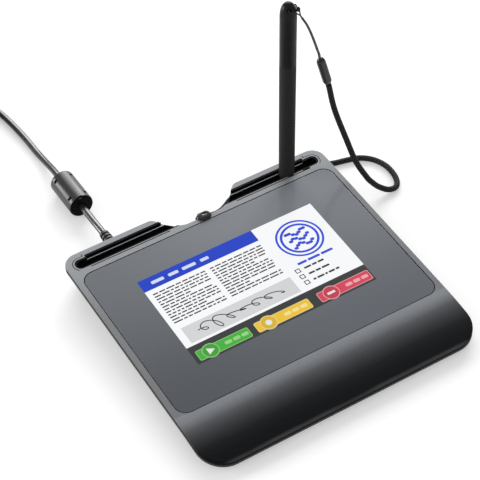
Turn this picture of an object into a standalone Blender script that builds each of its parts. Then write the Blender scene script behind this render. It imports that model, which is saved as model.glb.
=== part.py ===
"""Counter signature pad: a colour display under glass, a pen that stands in the rear rail, its tether
and a USB lead.

Lengths are metres. X is to the right, Y to the back, Z up. The table is Z = 0 and the origin lies
under the middle of the housing. The deck is the pad's sloping top plane. What lies in it is modelled
with Z = 0 in that plane and hangs from the empty deck_frame, which gives it the slope. The pen's
pieces and its holder hang from pen_frame, whose Z is the pen's own axis.
"""

import math

import bmesh
import bpy
import numpy as np
from mathutils import Matrix, Vector

# Clearances
seat_gap = 0.0003
overrun = 0.002
segment_gap = 0.0003

# Housing outline, in the plane of the deck
side_border = 0.0037
rail_width = 0.0166
palm_depth = 0.0348
front_corner_radius = 0.015
rear_corner_radius = 0.008
notch_half_width = 0.0231
notch_depth = 0.0129
notch_tip_radius = 0.0025
scallop_radius = 0.0096
smallest_radius = 0.0006
corner_steps = 5

# Deck and housing heights
deck_slope = math.radians(3.0)
deck_height_rear = 0.0175
palm_drop = 0.0032
palm_sections = 6
top_edge_round = 0.0008
top_edge_thickness = 0.0018
top_plate_thickness = 0.003
shell_wall = 0.0016
rim_height = 0.0014
base_clearance = 0.0015
base_side_inset = 0.010
base_front_inset = 0.005
base_rear_inset = 0.0006
undercut_wall = 0.002

# Glass and display stack
glass_side_border = 0.0175
glass_rear_border = 0.0162
glass_front_border = 0.0154
glass_corner_radius = 0.0065
glass_thickness = 0.0011
glass_sink = 0.0001
glass_edge_gap = 0.0004
seal_thickness = 0.0004
seal_width = 0.0035
window_side_margin = 0.00175
window_rear_margin = 0.0023
window_front_margin = 0.0057
window_corner_radius = 0.002
panel_width = 0.120
panel_depth = 0.076
panel_thickness = 0.001
panel_corner_radius = 0.0008
backlight_margin = 0.0006
backlight_thickness = 0.0019
frame_wall = 0.0005
frame_floor = 0.0004
frame_top_below_glass = 0.0006
sensor_side_inset = 0.0010
sensor_rear_overhang = 0.0038
sensor_front_overhang = 0.0022
sensor_thickness = 0.0008
sensor_corner_radius = 0.002
shield_thickness = 0.0004
flex_thickness = 0.0003
display_flex_width = 0.024
display_flex_x = -0.006
sensor_flex_width = 0.010
sensor_flex_x = 0.026

# Pen trays in the rear rails
slot_rear_inset = 0.0041
slot_width = 0.0077
slot_end_inset = 0.0050
slot_narrow_length = 0.0075
slot_narrow_step = 0.0010
slot_notch_reach = 0.0151
slot_end_radius = 0.0032
tray_height = 0.0051
tray_wall = 0.0006
tray_floor = 0.0008
tray_ridge_from_rear = 0.0018
tray_ridge_width = 0.0006
tray_ridge_drop = 0.0014
tray_shelf_drop = 0.0009

# Pen: the axis meets the deck on the slot's middle line
pen_from_slot_end = 0.0198
pen_lean = math.radians(2.6)
pen_length = 0.127
pen_radius = 0.0046
pen_end_radius = 0.0040
pen_taper_from_tip = 0.0145
pen_tip_height = 0.0047
pen_cone_length = 0.011
pen_tip_radius = 0.0017
pen_joint_from_tip = 0.0875
pen_dome_height = 0.009
pen_dome_power = 2.3
pen_bore_radius = 0.0026
pen_bore_from_tip = 0.009
pen_spigot_length = 0.007
nib_radius = 0.0009
nib_reach = 0.0012
nib_length = 0.0245
nib_travel = 0.0003
pen_coil_radius = 0.0022
pen_coil_from_tip = 0.0105
pen_coil_length = 0.0125
pen_sensor_length = 0.004
pen_board_width = 0.0036
pen_board_thickness = 0.0010
pen_board_length = 0.042
eye_radius = 0.0010
eye_from_top = 0.0030
eye_off_axis = 0.0019
eye_turn = math.radians(31.0)

# Pen holder under the right tray
holder_bore_clearance = 0.0003
holder_wall = 0.0006
holder_floor = 0.0007
holder_cone_depth = 0.0058
holder_lift = 0.0005

# Tether anchor over the rail in the notch
anchor_width = 0.0088
anchor_reach = 0.0031
anchor_cap_height = 0.0013
anchor_plate_thickness = 0.0024
anchor_plate_bottom = 0.0035
anchor_cap_round = 0.0012

# Main board and what it carries; it lies level on the housing floor
floor_thickness = 0.0016
board_width = 0.080
board_depth = 0.028
board_rear_inset = 0.0045
board_thickness = 0.001
board_corner_radius = 0.001
board_post_radius = 0.0025
board_post_height = 0.001
board_screw_inset = 0.0035
board_screw_head_radius = 0.0018
board_screw_head_height = 0.0009
board_screw_shank_radius = 0.0008
board_screw_length = 0.0026
processor_size = 0.012
processor_x = 0.004
processor_from_rear = 0.013
memory_size = (0.010, 0.007)
memory_x = 0.022
memory_from_rear = 0.010
chip_thickness = 0.001
lead_socket_size = (0.008, 0.0050)
lead_socket_side_inset = 0.014
lead_socket_height = 0.0017

# Case screws, driven up from below into bosses of the top shell
case_screw_side_inset = 0.0152
case_screw_rear_inset = 0.0215
case_screw_front_inset = 0.0275
case_boss_radius = 0.0028
case_boss_bottom = 0.0051
case_post_radius = 0.0034
case_post_top = 0.0048
case_screw_head_radius = 0.0019
case_screw_head_height = 0.0012
case_screw_recess = 0.0005
case_screw_shank_radius = 0.0010
case_screw_length = 0.0057
case_boss_embed = 0.0005

# Feet
foot_radius = 0.006
foot_recess = 0.0005
foot_rear_side_inset = 0.0312
foot_rear_inset = 0.0140
foot_front_side_inset = 0.0212
foot_front_inset = 0.0155

# USB lead: boot, ferrite, coil and plug
lead_x = -0.0488
lead_exit_height = 0.0085
boot_outer_radius = 0.0035
boot_end_radius = 0.0027
boot_length = 0.0125
boot_neck_radius = 0.0024
boot_flange_radius = 0.0034
boot_flange_thickness = 0.0013
boot_ribs = 3
boot_rib_depth = 0.0006
boot_rib_width = 0.0013
cable_radius = 0.002
inner_lead_radius = 0.0009
ferrite_radius = 0.00715
ferrite_length = 0.0262
ferrite_edge_round = 0.0026
ferrite_x = -0.0483
ferrite_start_y = 0.1195
ferrite_wall = 0.0012
ferrite_core_bore_clearance = 0.0004
coil_centre = (-0.0885, 0.2500)
coil_loops_per_layer = 4.375
coil_layers = 4
coil_mean_radius = 0.0243
coil_pitch = 0.00455
coil_points_per_loop = 24
coil_lift = 0.0014
tie_thickness = 0.0008
tie_width = 0.008
tie_corner_radius = 0.002
plug_grip_size = (0.0155, 0.0220, 0.0080)
plug_grip_radius = 0.0025
plug_shell_size = (0.0120, 0.0130, 0.0045)
plug_shell_wall = 0.0004
plug_tongue_size = (0.0108, 0.0115, 0.0017)
plug_inset = 0.0030

# Tether
tether_radius = 0.0015
tether_start_height = 0.0070
string_radius = 0.0004
string_strand_gap = 0.0003
clasp_width = 0.0050
clasp_thickness = 0.0040

# Routes of the free cords, chosen by hand: X, Y, Z along each centreline
cable_route = (
    (-0.0488, 0.1010, 0.0083),
    (-0.0486, 0.1100, 0.0077),
    (-0.0484, 0.1190, 0.00725),
    (-0.0483, 0.1325, 0.00715),
    (-0.0482, 0.1460, 0.0070),
    (-0.0477, 0.1560, 0.0058),
    (-0.0475, 0.1680, 0.0036),
    (-0.0476, 0.1800, 0.0023),
    (-0.0478, 0.1950, 0.0021),
    (-0.0486, 0.2080, 0.0021),
    (-0.0499, 0.2200, 0.0022),
    (-0.0518, 0.2300, 0.0025),
)
tail_route = (
    (-0.1225, 0.2340, 0.0160),
    (-0.1227, 0.2240, 0.0130),
    (-0.1228, 0.2140, 0.0088),
    (-0.1229, 0.2050, 0.0057),
    (-0.1230, 0.1970, 0.0043),
    (-0.1230, 0.1900, 0.0040),
)
inner_lead_route = (
    (-0.0487, 0.0700, 0.0084),
    (-0.0460, 0.0630, 0.0080),
    (-0.0400, 0.0575, 0.0075),
    (-0.0330, 0.0535, 0.0070),
    (-0.0280, 0.0505, 0.0067),
    (-0.0262, 0.0480, 0.0066),
)
tether_route = (
    (0.0010, 0.0752, 0.0065),
    (0.0038, 0.0772, 0.0050),
    (0.0082, 0.0779, 0.0029),
    (0.0130, 0.0780, 0.0017),
    (0.0175, 0.0787, 0.0015),
    (0.0215, 0.0806, 0.0015),
    (0.0260, 0.0832, 0.0015),
    (0.0330, 0.0849, 0.0015),
    (0.0440, 0.0856, 0.0015),
    (0.0580, 0.0854, 0.0015),
    (0.0720, 0.0832, 0.0015),
    (0.0830, 0.0798, 0.0015),
    (0.0904, 0.0763, 0.0015),
    (0.0980, 0.0743, 0.0015),
    (0.1052, 0.0718, 0.0015),
    (0.1112, 0.0660, 0.0015),
    (0.1142, 0.0571, 0.0015),
    (0.1133, 0.0470, 0.0015),
    (0.1095, 0.0405, 0.0016),
    (0.1040, 0.0400, 0.0022),
    (0.0990, 0.0428, 0.0048),
    (0.0958, 0.0448, 0.0084),
    (0.0938, 0.0468, 0.0115),
    (0.0903, 0.0525, 0.0207),
    (0.0882, 0.0585, 0.0332),
    (0.0847, 0.0650, 0.0525),
)
clasp_low = (0.0828, 0.0682, 0.0699)
clasp_high = (0.0789, 0.0698, 0.0882)
string_route = (
    (0.0784, 0.0698, 0.0912),
    (0.0773, 0.0698, 0.0950),
    (0.0758, 0.0698, 0.1004),
    (0.0736, 0.0696, 0.1075),
    (0.0711, 0.0692, 0.1141),
    (0.0682, 0.0688, 0.1199),
)
string_entry = ((0.0665, 0.0703, 0.1247), (0.0662, 0.0712, 0.1274))
string_exit = ((0.0607, 0.0666, 0.1277), (0.0634, 0.0668, 0.1264), (0.0658, 0.0675, 0.1238))


# Sizes and places worked out from those above; places lie in the deck, from its middle
glass_width = panel_width + 2.0 * glass_side_border
glass_depth = panel_depth + glass_rear_border + glass_front_border
pad_width = glass_width + 2.0 * side_border
pad_depth = rail_width + glass_depth + palm_depth
pad_rear_y = pad_depth / 2.0
glass_rear_y = pad_rear_y - rail_width
glass_centre_y = glass_rear_y - glass_depth / 2.0
panel_rear_y = glass_rear_y - glass_rear_border
display_centre_y = panel_rear_y - panel_depth / 2.0
window_width = panel_width + 2.0 * window_side_margin
window_rear_y = panel_rear_y + window_rear_margin
window_front_y = panel_rear_y - panel_depth - window_front_margin
sensor_width = panel_width - 2.0 * sensor_side_inset
sensor_depth = panel_depth + sensor_rear_overhang + sensor_front_overhang
sensor_centre_y = panel_rear_y + sensor_rear_overhang - sensor_depth / 2.0
board_rear_y = panel_rear_y + sensor_rear_overhang - board_rear_inset
board_front_y = board_rear_y - board_depth
lead_socket_x = lead_socket_side_inset - board_width / 2.0
notch_floor_y = pad_rear_y - notch_depth
slot_rear_y = pad_rear_y - slot_rear_inset
slot_front_y = slot_rear_y - slot_width
slot_middle_y = (slot_front_y + slot_rear_y) / 2.0
slot_narrow_rear_y = slot_rear_y - slot_narrow_step
slot_end_x = pad_width / 2.0 - slot_end_inset
slot_narrow_from_x = slot_end_x - slot_narrow_length
slot_inner_x = notch_half_width - slot_notch_reach
tray_ridge_y = slot_rear_y - tray_ridge_from_rear
pen_x = slot_end_x - pen_from_slot_end
anchor_front_y = notch_floor_y - anchor_reach
palm_start_y = glass_rear_y - glass_depth - top_edge_round
palm_length = pad_rear_y + palm_start_y
deck_centre_height = deck_height_rear - pad_rear_y * math.sin(deck_slope)
floor_top = base_clearance + floor_thickness
clasp_length = math.dist(clasp_low, clasp_high)


def deck_matrix():
    """The deck's frame, placed so that the origin lies under the middle of the housing."""
    slope = Matrix.Rotation(deck_slope, 4, "X")
    rear_y = pad_rear_y - base_rear_inset
    rear = slope @ Vector((0.0, rear_y, deck_level(rear_y, base_clearance)))
    front = slope @ Vector((0.0, -pad_rear_y, -palm_drop - top_edge_round))
    return Matrix.Translation((0.0, -(rear.y + front.y) / 2.0, deck_centre_height)) @ slope


# Materials


def material(name, colour, roughness, metallic=0.0):
    """A Principled material in one colour."""
    made = bpy.data.materials.new(name)
    made.use_nodes = True
    shader = made.node_tree.nodes["Principled BSDF"]
    shader.inputs["Base Color"].default_value = (*colour, 1.0)
    shader.inputs["Roughness"].default_value = roughness
    shader.inputs["Metallic"].default_value = metallic
    return made


def make_materials():
    """The finishes of the pad, by a plain name."""
    return {
        "bezel": material("bezel", (0.30, 0.31, 0.32), 0.42, 0.3),
        "base": material("base", (0.03, 0.03, 0.032), 0.5),
        "glass": material("glass", (0.12, 0.13, 0.15), 0.08),
        "seal": material("seal", (0.02, 0.02, 0.02), 0.7),
        "panel": material("panel", (0.75, 0.78, 0.82), 0.2),
        "diffuser": material("diffuser", (0.9, 0.9, 0.88), 0.5),
        "steel": material("steel", (0.6, 0.6, 0.62), 0.3, 1.0),
        "board": material("board", (0.02, 0.16, 0.06), 0.45),
        "chip": material("chip", (0.03, 0.03, 0.035), 0.4),
        "flex": material("flex", (0.45, 0.22, 0.05), 0.4),
        "tray": material("tray", (0.006, 0.006, 0.007), 0.12),
        "pen": material("pen", (0.016, 0.016, 0.017), 0.38),
        "nib": material("nib", (0.05, 0.05, 0.05), 0.5),
        "copper": material("copper", (0.7, 0.32, 0.14), 0.35, 1.0),
        "rubber": material("rubber", (0.02, 0.02, 0.02), 0.85),
        "cable": material("cable", (0.05, 0.05, 0.052), 0.3),
        "ferrite": material("ferrite", (0.06, 0.06, 0.062), 0.3),
        "cord": material("cord", (0.012, 0.012, 0.012), 0.8),
    }


# Scene helpers


def clear_scene():
    """Removes every object that the scene starts with."""
    for old in list(bpy.data.objects):
        bpy.data.objects.remove(old, do_unlink=True)


def empty(name, matrix):
    """An empty that gives its children a place and a slope."""
    made = bpy.data.objects.new(name, None)
    bpy.context.collection.objects.link(made)
    made.matrix_world = matrix
    return made


def finish(name, bm, finish_material=None, parent=None, smooth=False):
    """Turns a closed bmesh into an object, with its faces pointing out."""
    bmesh.ops.recalc_face_normals(bm, faces=bm.faces)
    mesh = bpy.data.meshes.new(name)
    bm.to_mesh(mesh)
    bm.free()
    made = bpy.data.objects.new(name, mesh)
    bpy.context.collection.objects.link(made)
    if parent:
        made.parent = parent
    if finish_material:
        mesh.materials.append(finish_material)
    if smooth:
        mesh.shade_smooth()
        mesh.set_sharp_from_angle(angle=math.radians(35.0))
    return made


def cutter(name, bm, parent=None):
    """A tool for a Boolean, left out of the render."""
    tool = finish(name, bm, None, parent)
    tool.hide_render = True
    tool.display_type = "WIRE"
    return tool


def combine(target, tool, operation):
    """A live Boolean of the tool on the target."""
    modifier = target.modifiers.new(tool.name, "BOOLEAN")
    modifier.operation = operation
    modifier.solver = "EXACT"
    modifier.object = tool


def rounded_polygon(corners):
    """The outline through corners (x, y, radius, steps), each turned by an arc, left or right."""
    points = []
    count = len(corners)
    for index, (x, y, radius, steps) in enumerate(corners):
        here = Vector((x, y))
        before = (Vector(corners[index - 1][:2]) - here).normalized()
        after = (Vector(corners[(index + 1) % count][:2]) - here).normalized()
        half = before.angle(after) / 2.0
        reach = radius / math.tan(half)
        centre = here + (before + after).normalized() * (radius / math.sin(half))
        start = here + before * reach - centre
        end = here + after * reach - centre
        turn = start.angle_signed(end)
        for step in range(steps + 1):
            arm = start.copy()
            arm.rotate(Matrix.Rotation(-turn * step / steps, 2))
            points.append((centre.x + arm.x, centre.y + arm.y))
    return points


def rounded_rectangle(width, depth, radius, centre=(0.0, 0.0), steps=4):
    """The outline of a rectangle with round corners."""
    x, y = centre
    right, rear = width / 2.0, depth / 2.0
    return rounded_polygon(
        (
            (x - right, y - rear, radius, steps),
            (x + right, y - rear, radius, steps),
            (x + right, y + rear, radius, steps),
            (x - right, y + rear, radius, steps),
        )
    )


def circle(radius, centre=(0.0, 0.0), sides=24):
    """A regular outline round a centre."""
    return [
        (
            centre[0] + radius * math.cos(2.0 * math.pi * index / sides),
            centre[1] + radius * math.sin(2.0 * math.pi * index / sides),
        )
        for index in range(sides)
    ]


def skin(bm, loops, closed=False):
    """Faces between loops with equal numbers of points, capped at both ends unless they close."""
    rings = [[bm.verts.new(point) for point in loop] for loop in loops]
    pairs = list(zip(rings, rings[1:]))
    if closed:
        pairs.append((rings[-1], rings[0]))
    for lower, upper in pairs:
        for index in range(len(lower)):
            after = (index + 1) % len(lower)
            bm.faces.new((lower[index], lower[after], upper[after], upper[index]))
    if not closed:
        bm.faces.new(rings[0][::-1])
        bm.faces.new(rings[-1])
    return rings


def at_height(outline, height):
    """An outline at one height."""
    return [(x, y, height) for x, y in outline]


def prism(bm, outline, low, high):
    """A straight solid with the outline's shape."""
    skin(bm, (at_height(outline, low), at_height(outline, high)))


def turned(bm, profile, sides=24):
    """A body of revolution about Z from (radius, height) points; a radius of zero is a pole."""
    rings = []
    for radius, height in profile:
        if radius == 0.0:
            rings.append([bm.verts.new((0.0, 0.0, height))])
        else:
            rings.append([bm.verts.new((x, y, height)) for x, y in circle(radius, sides=sides)])
    for lower, upper in zip(rings, rings[1:]):
        for index in range(sides):
            after = (index + 1) % sides
            corners = [lower[index % len(lower)], lower[after % len(lower)]]
            corners += [upper[after % len(upper)], upper[index % len(upper)]]
            unique = list(dict.fromkeys(corners))
            if len(unique) > 2:
                bm.faces.new(unique)
    for ring in (rings[0], rings[-1]):
        if len(ring) > 1 and ring[0].is_boundary:
            bm.faces.new(ring)


def turned_ring(bm, profile, sides=24):
    """A ring turned about Z from a closed (radius, height) profile that stays off the axis."""
    loops = []
    for index in range(sides):
        angle = 2.0 * math.pi * index / sides
        loops.append([(r * math.cos(angle), r * math.sin(angle), h) for r, h in profile])
    skin(bm, loops, closed=True)


def move(bm, matrix):
    """Places the whole mesh."""
    bmesh.ops.transform(bm, matrix=matrix, verts=bm.verts)


# Housing


def pad_outline(side=0.0, front=0.0, rear=0.0):
    """The housing's outline, drawn in by an inset at the sides, the front and the rear."""
    right, low, high = pad_width / 2.0 - side, -pad_rear_y + front, pad_rear_y - rear
    inner, floor_y = notch_half_width + rear, notch_floor_y - rear
    front_radius = max(front_corner_radius - max(side, front), smallest_radius)
    rear_radius = max(rear_corner_radius - max(side, rear) / 2.0, smallest_radius)
    tip = max(notch_tip_radius - rear, smallest_radius)
    scallop = min(scallop_radius + rear, notch_depth - tip)
    return rounded_polygon(
        (
            (-right, low, front_radius, corner_steps),
            (right, low, front_radius, corner_steps),
            (right, high, rear_radius, corner_steps),
            (inner, high, tip, 3),
            (inner, floor_y, scallop, corner_steps),
            (-inner, floor_y, scallop, corner_steps),
            (-inner, high, tip, 3),
            (-right, high, rear_radius, corner_steps),
        )
    )


def even_outline(inset):
    """The housing's outline drawn in alike on all sides."""
    return pad_outline(inset, inset, inset)


def palm_drop_at(y):
    """How far the palm rest has curved down under the deck's plane."""
    share = max(0.0, (palm_start_y - y) / palm_length)
    return palm_drop * share * share


def deck_level(y, height):
    """The height in deck coordinates of a level plane at a height over the table."""
    return (height - deck_centre_height - y * math.sin(deck_slope)) / math.cos(deck_slope)


def over_table(y, depth=0.0):
    """The height over the table of a point of the deck, or of one a depth under it."""
    return deck_centre_height + y * math.sin(deck_slope) - depth * math.cos(deck_slope)


def bend_palm(bm):
    """Cuts the mesh across the palm rest and lets its points follow the curve."""
    for section in range(palm_sections):
        y = palm_start_y - palm_length * section / palm_sections
        geometry = list(bm.verts) + list(bm.edges) + list(bm.faces)
        bmesh.ops.bisect_plane(bm, geom=geometry, plane_co=(0.0, y, 0.0), plane_no=(0.0, 1.0, 0.0))
    bmesh.ops.triangulate(bm, faces=[face for face in bm.faces if len(face.verts) > 4])
    for vert in bm.verts:
        vert.co.z -= palm_drop_at(vert.co.y)


def slot_outline(side, grow):
    """The pen slot of one rear rail; side is 1 for the right one, which bulges round the pen."""
    points = rounded_polygon(
        (
            (slot_inner_x, slot_front_y - grow, smallest_radius, 1),
            (slot_end_x + grow, slot_front_y - grow, slot_end_radius + grow, 5),
            (slot_end_x + grow, slot_narrow_rear_y + grow, slot_end_radius + grow, 5),
            (slot_narrow_from_x + grow, slot_narrow_rear_y + grow, smallest_radius / 4.0, 1),
            (slot_narrow_from_x + grow, slot_rear_y + grow, smallest_radius / 4.0, 1),
            (slot_inner_x, slot_rear_y + grow, smallest_radius, 1),
        )
    )
    if side < 0:
        return [(-x, y) for x, y in reversed(points)]
    radius = pen_end_radius + holder_bore_clearance + tray_wall + seat_gap + grow
    half = math.asin(((slot_rear_y - slot_front_y) / 2.0 + grow) / radius)
    behind = []
    for step in range(9):
        angle = half + (math.pi - 2.0 * half) * step / 8
        behind.append((pen_x + radius * math.cos(angle), slot_middle_y + radius * math.sin(angle)))
    ahead = [(x, 2.0 * slot_middle_y - y) for x, y in reversed(behind)]
    return points[:2] + ahead + points[2:-2] + behind + points[-2:]


def slot_tool(name, deck, grow, depth):
    """A cutter through both rails that leaves room for the trays down to a depth."""
    bm = bmesh.new()
    for side in (-1, 1):
        prism(bm, slot_outline(side, grow), -depth, overrun)
    return cutter(name, bm, deck)


def case_screw_places():
    """The case screws' axes: both sides of a rear, a middle and a front row."""
    rear, front = pad_rear_y - case_screw_rear_inset, case_screw_front_inset - pad_rear_y
    x = pad_width / 2.0 - case_screw_side_inset
    return [(side * x, y) for y in (rear, (rear + front) / 2.0, front) for side in (-1, 1)]


def foot_places():
    """The feet's axes: left and right at the rear, then at the front."""
    rear = (pad_width / 2.0 - foot_rear_side_inset, pad_rear_y - foot_rear_inset)
    front = (pad_width / 2.0 - foot_front_side_inset, foot_front_inset - pad_rear_y)
    return [(side * x, y) for x, y in (rear, front) for side in (-1, 1)]


def top_shell(deck, finishes):
    """The bezel, the palm rest and the rear rails in one moulding, with the bosses for the screws."""
    bm = bmesh.new()
    loops = []
    for step in range(3):
        angle = math.radians(90.0) * step / 2
        inset = top_edge_round * (1.0 - math.sin(angle))
        depth = top_edge_round * (1.0 - math.cos(angle))
        loops.append(at_height(even_outline(inset), -depth))
    lip = shell_wall + seat_gap
    loops.append(at_height(even_outline(0.0), -top_edge_thickness))
    loops.append(at_height(even_outline(lip), -top_edge_thickness))
    loops.append(at_height(even_outline(lip), -top_plate_thickness))
    skin(bm, loops)
    bend_palm(bm)
    shell = finish("top_shell", bm, finishes["bezel"], deck, smooth=True)

    bosses = bmesh.new()
    holes = bmesh.new()
    for x, y in case_screw_places():
        top = over_table(y, top_plate_thickness + palm_drop_at(y) - case_boss_embed)
        prism(bosses, circle(case_boss_radius, (x, y), 12), case_boss_bottom, top)
        screw_end = base_clearance + case_screw_recess + case_screw_head_height + case_screw_length
        pilot = circle(case_screw_shank_radius + seat_gap, (x, y), 10)
        prism(holes, pilot, case_boss_bottom - overrun, screw_end + seat_gap)
    combine(shell, cutter("boss_tool", bosses), "UNION")
    combine(shell, cutter("pilot_tool", holes), "DIFFERENCE")

    pocket = bmesh.new()
    pocket_depth = glass_sink + glass_thickness + seat_gap + seal_thickness + seat_gap
    centre = (0.0, glass_centre_y)
    width, depth = glass_width + 2.0 * glass_edge_gap, glass_depth + 2.0 * glass_edge_gap
    outer = rounded_rectangle(width, depth, glass_corner_radius + glass_edge_gap, centre)
    middle = (0.0, (window_rear_y + window_front_y) / 2.0)
    window_depth = window_rear_y - window_front_y
    inner = rounded_rectangle(window_width, window_depth, window_corner_radius, middle)
    skin(
        pocket,
        (
            at_height(outer, overrun),
            at_height(outer, -pocket_depth),
            at_height(inner, -pocket_depth),
            at_height(inner, -top_plate_thickness - overrun),
        ),
    )
    combine(shell, cutter("pocket_tool", pocket, deck), "DIFFERENCE")
    slots = slot_tool("shell_slot_tool", deck, 0.0, top_plate_thickness + overrun)
    combine(shell, slots, "DIFFERENCE")
    return shell


def bottom_shell(deck, finishes):
    """The dark lower housing: a rim that follows the outline, undercut sides and a level floor."""
    rim_top = top_edge_thickness + seat_gap
    rim_bottom = rim_top + rim_height
    base = pad_outline(base_side_inset, base_front_inset, base_rear_inset)
    floor_outline = pad_outline(
        base_side_inset + undercut_wall,
        base_front_inset + undercut_wall,
        base_rear_inset + shell_wall,
    )
    wall = even_outline(shell_wall)

    def under_deck(outline, depth):
        return [(x, y, -depth - palm_drop_at(y)) for x, y in outline]

    def level(outline, height):
        return [(x, y, deck_level(y, height)) for x, y in outline]

    bm = bmesh.new()
    outside = even_outline(0.0)
    loops = (
        level(floor_outline, floor_top),
        under_deck(wall, rim_bottom - base_clearance / 3.0),
        under_deck(wall, rim_top),
        under_deck(outside, rim_top),
        under_deck(outside, rim_bottom),
        level(base, base_clearance),
    )
    skin(bm, loops)
    bmesh.ops.triangulate(bm, faces=[face for face in bm.faces if len(face.verts) <= 4])
    shell = finish("bottom_shell", bm, finishes["base"], deck, smooth=True)

    posts = bmesh.new()
    holes = bmesh.new()
    low = floor_top - floor_thickness / 2.0
    for x, y in case_screw_places():
        prism(posts, circle(case_post_radius, (x, y), 12), low, case_post_top)
        ceiling = base_clearance + case_screw_recess + case_screw_head_height + seat_gap
        prism(holes, circle(case_screw_head_radius + seat_gap, (x, y), 12), -overrun, ceiling)
    for x, y in board_screw_places():
        top = floor_top + board_post_height
        prism(posts, circle(board_post_radius, (x, y), 12), low, top)
    combine(shell, cutter("post_tool", posts), "UNION")
    combine(shell, cutter("counterbore_tool", holes), "DIFFERENCE")

    bores = bmesh.new()
    for x, y in case_screw_places():
        outline = circle(case_screw_shank_radius + seat_gap, (x, y), 10)
        prism(bores, outline, base_clearance, case_post_top + overrun)
    for x, y in board_screw_places():
        outline = circle(board_screw_shank_radius + seat_gap, (x, y), 10)
        bottom = board_underside() + board_thickness - board_screw_length - seat_gap
        prism(bores, outline, bottom, floor_top + board_post_height + overrun)
    for x, y in foot_places():
        outline = circle(foot_radius + seat_gap, (x, y), 20)
        prism(bores, outline, -overrun, base_clearance + foot_recess)
    combine(shell, cutter("bore_tool", bores), "DIFFERENCE")

    opening = bmesh.new()
    turned(opening, ((boot_neck_radius + seat_gap, 0.0), (boot_neck_radius + seat_gap, 4.0 * overrun)), 16)
    wall_y = pad_rear_y - 2.0 * overrun
    move(opening, Matrix.Translation((lead_x, wall_y, lead_exit_height)) @ along_y())
    combine(shell, cutter("lead_hole_tool", opening), "DIFFERENCE")
    slots = slot_tool("base_slot_tool", deck, seat_gap, tray_height + 2.0 * seat_gap)
    combine(shell, slots, "DIFFERENCE")
    return shell


def along_y():
    """Turns a piece made along Z so that it runs along Y."""
    return Matrix.Rotation(math.radians(-90.0), 4, "X")


# Glass and display stack


def glass_stack(deck, finishes):
    """The cover glass, its seal and the display module under it."""
    centre = (0.0, glass_centre_y)
    glass_bottom = -glass_sink - glass_thickness
    bm = bmesh.new()
    outline = rounded_rectangle(glass_width, glass_depth, glass_corner_radius, centre)
    prism(bm, outline, glass_bottom, -glass_sink)
    finish("cover_glass", bm, finishes["glass"], deck)

    bm = bmesh.new()
    inner_width, inner_depth = glass_width - 2.0 * seal_width, glass_depth - 2.0 * seal_width
    inner = rounded_rectangle(inner_width, inner_depth, glass_corner_radius / 2.0, centre)
    top, bottom = glass_bottom - seat_gap, glass_bottom - seat_gap - seal_thickness
    loops = [at_height(outline, top), at_height(outline, bottom)]
    loops += [at_height(inner, bottom), at_height(inner, top)]
    skin(bm, loops, closed=True)
    finish("glass_seal", bm, finishes["seal"], deck)

    middle = (0.0, display_centre_y)
    top = glass_bottom - seat_gap
    bottom = top - panel_thickness
    bm = bmesh.new()
    prism(bm, rounded_rectangle(panel_width, panel_depth, panel_corner_radius, middle), bottom, top)
    finish("lcd_panel", bm, finishes["panel"], deck)

    width, depth = panel_width - 2.0 * backlight_margin, panel_depth - 2.0 * backlight_margin
    light_top = bottom - seat_gap
    light_bottom = light_top - backlight_thickness
    bm = bmesh.new()
    outline = rounded_rectangle(width, depth, panel_corner_radius, middle)
    prism(bm, outline, light_bottom, light_top)
    finish("lcd_backlight", bm, finishes["diffuser"], deck)

    inside = rounded_rectangle(
        panel_width + 2.0 * seat_gap, panel_depth + 2.0 * seat_gap, panel_corner_radius, middle
    )
    room = 2.0 * (seat_gap + frame_wall)
    outside = rounded_rectangle(
        panel_width + room, panel_depth + room, panel_corner_radius + frame_wall, middle
    )
    frame_in = light_bottom - seat_gap
    frame_out = frame_in - frame_floor
    frame_top = glass_bottom - frame_top_below_glass
    bm = bmesh.new()
    loops = [at_height(inside, frame_in), at_height(inside, frame_top)]
    loops += [at_height(outside, frame_top), at_height(outside, frame_out)]
    skin(bm, loops)
    finish("lcd_frame", bm, finishes["steel"], deck)
    return frame_out


def sensor_stack(deck, finishes, top):
    """The pen sensor board and the shield behind it; returns the shield's underside."""
    middle = (0.0, sensor_centre_y)
    outline = rounded_rectangle(sensor_width, sensor_depth, sensor_corner_radius, middle)
    sensor_top = top - seat_gap
    sensor_bottom = sensor_top - sensor_thickness
    bm = bmesh.new()
    prism(bm, outline, sensor_bottom, sensor_top)
    finish("sensor_board", bm, finishes["board"], deck)
    shield_top = sensor_bottom - seat_gap
    shield_bottom = shield_top - shield_thickness
    bm = bmesh.new()
    prism(bm, outline, shield_bottom, shield_top)
    finish("shield_plate", bm, finishes["steel"], deck)
    return sensor_top, shield_bottom


def ribbon(name, path, width, x, finishes, deck):
    """A flat flexible cable along (y, z) points, with its thickness under them."""
    low = []
    high = []
    for index, (y, z) in enumerate(path):
        before = Vector(path[max(index - 1, 0)])
        after = Vector(path[min(index + 1, len(path) - 1)])
        along = (after - before).normalized()
        normal = Vector((-along.y, along.x)) * (flex_thickness / 2.0)
        high.append((y + normal.x, z + normal.y))
        low.append((y - normal.x, z - normal.y))
    section = high + low[::-1]
    bm = bmesh.new()
    left = [(x - width / 2.0, y, z) for y, z in section]
    right = [(x + width / 2.0, y, z) for y, z in section]
    skin(bm, (left, right))
    finish(name, bm, finishes["flex"], deck)


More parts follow.
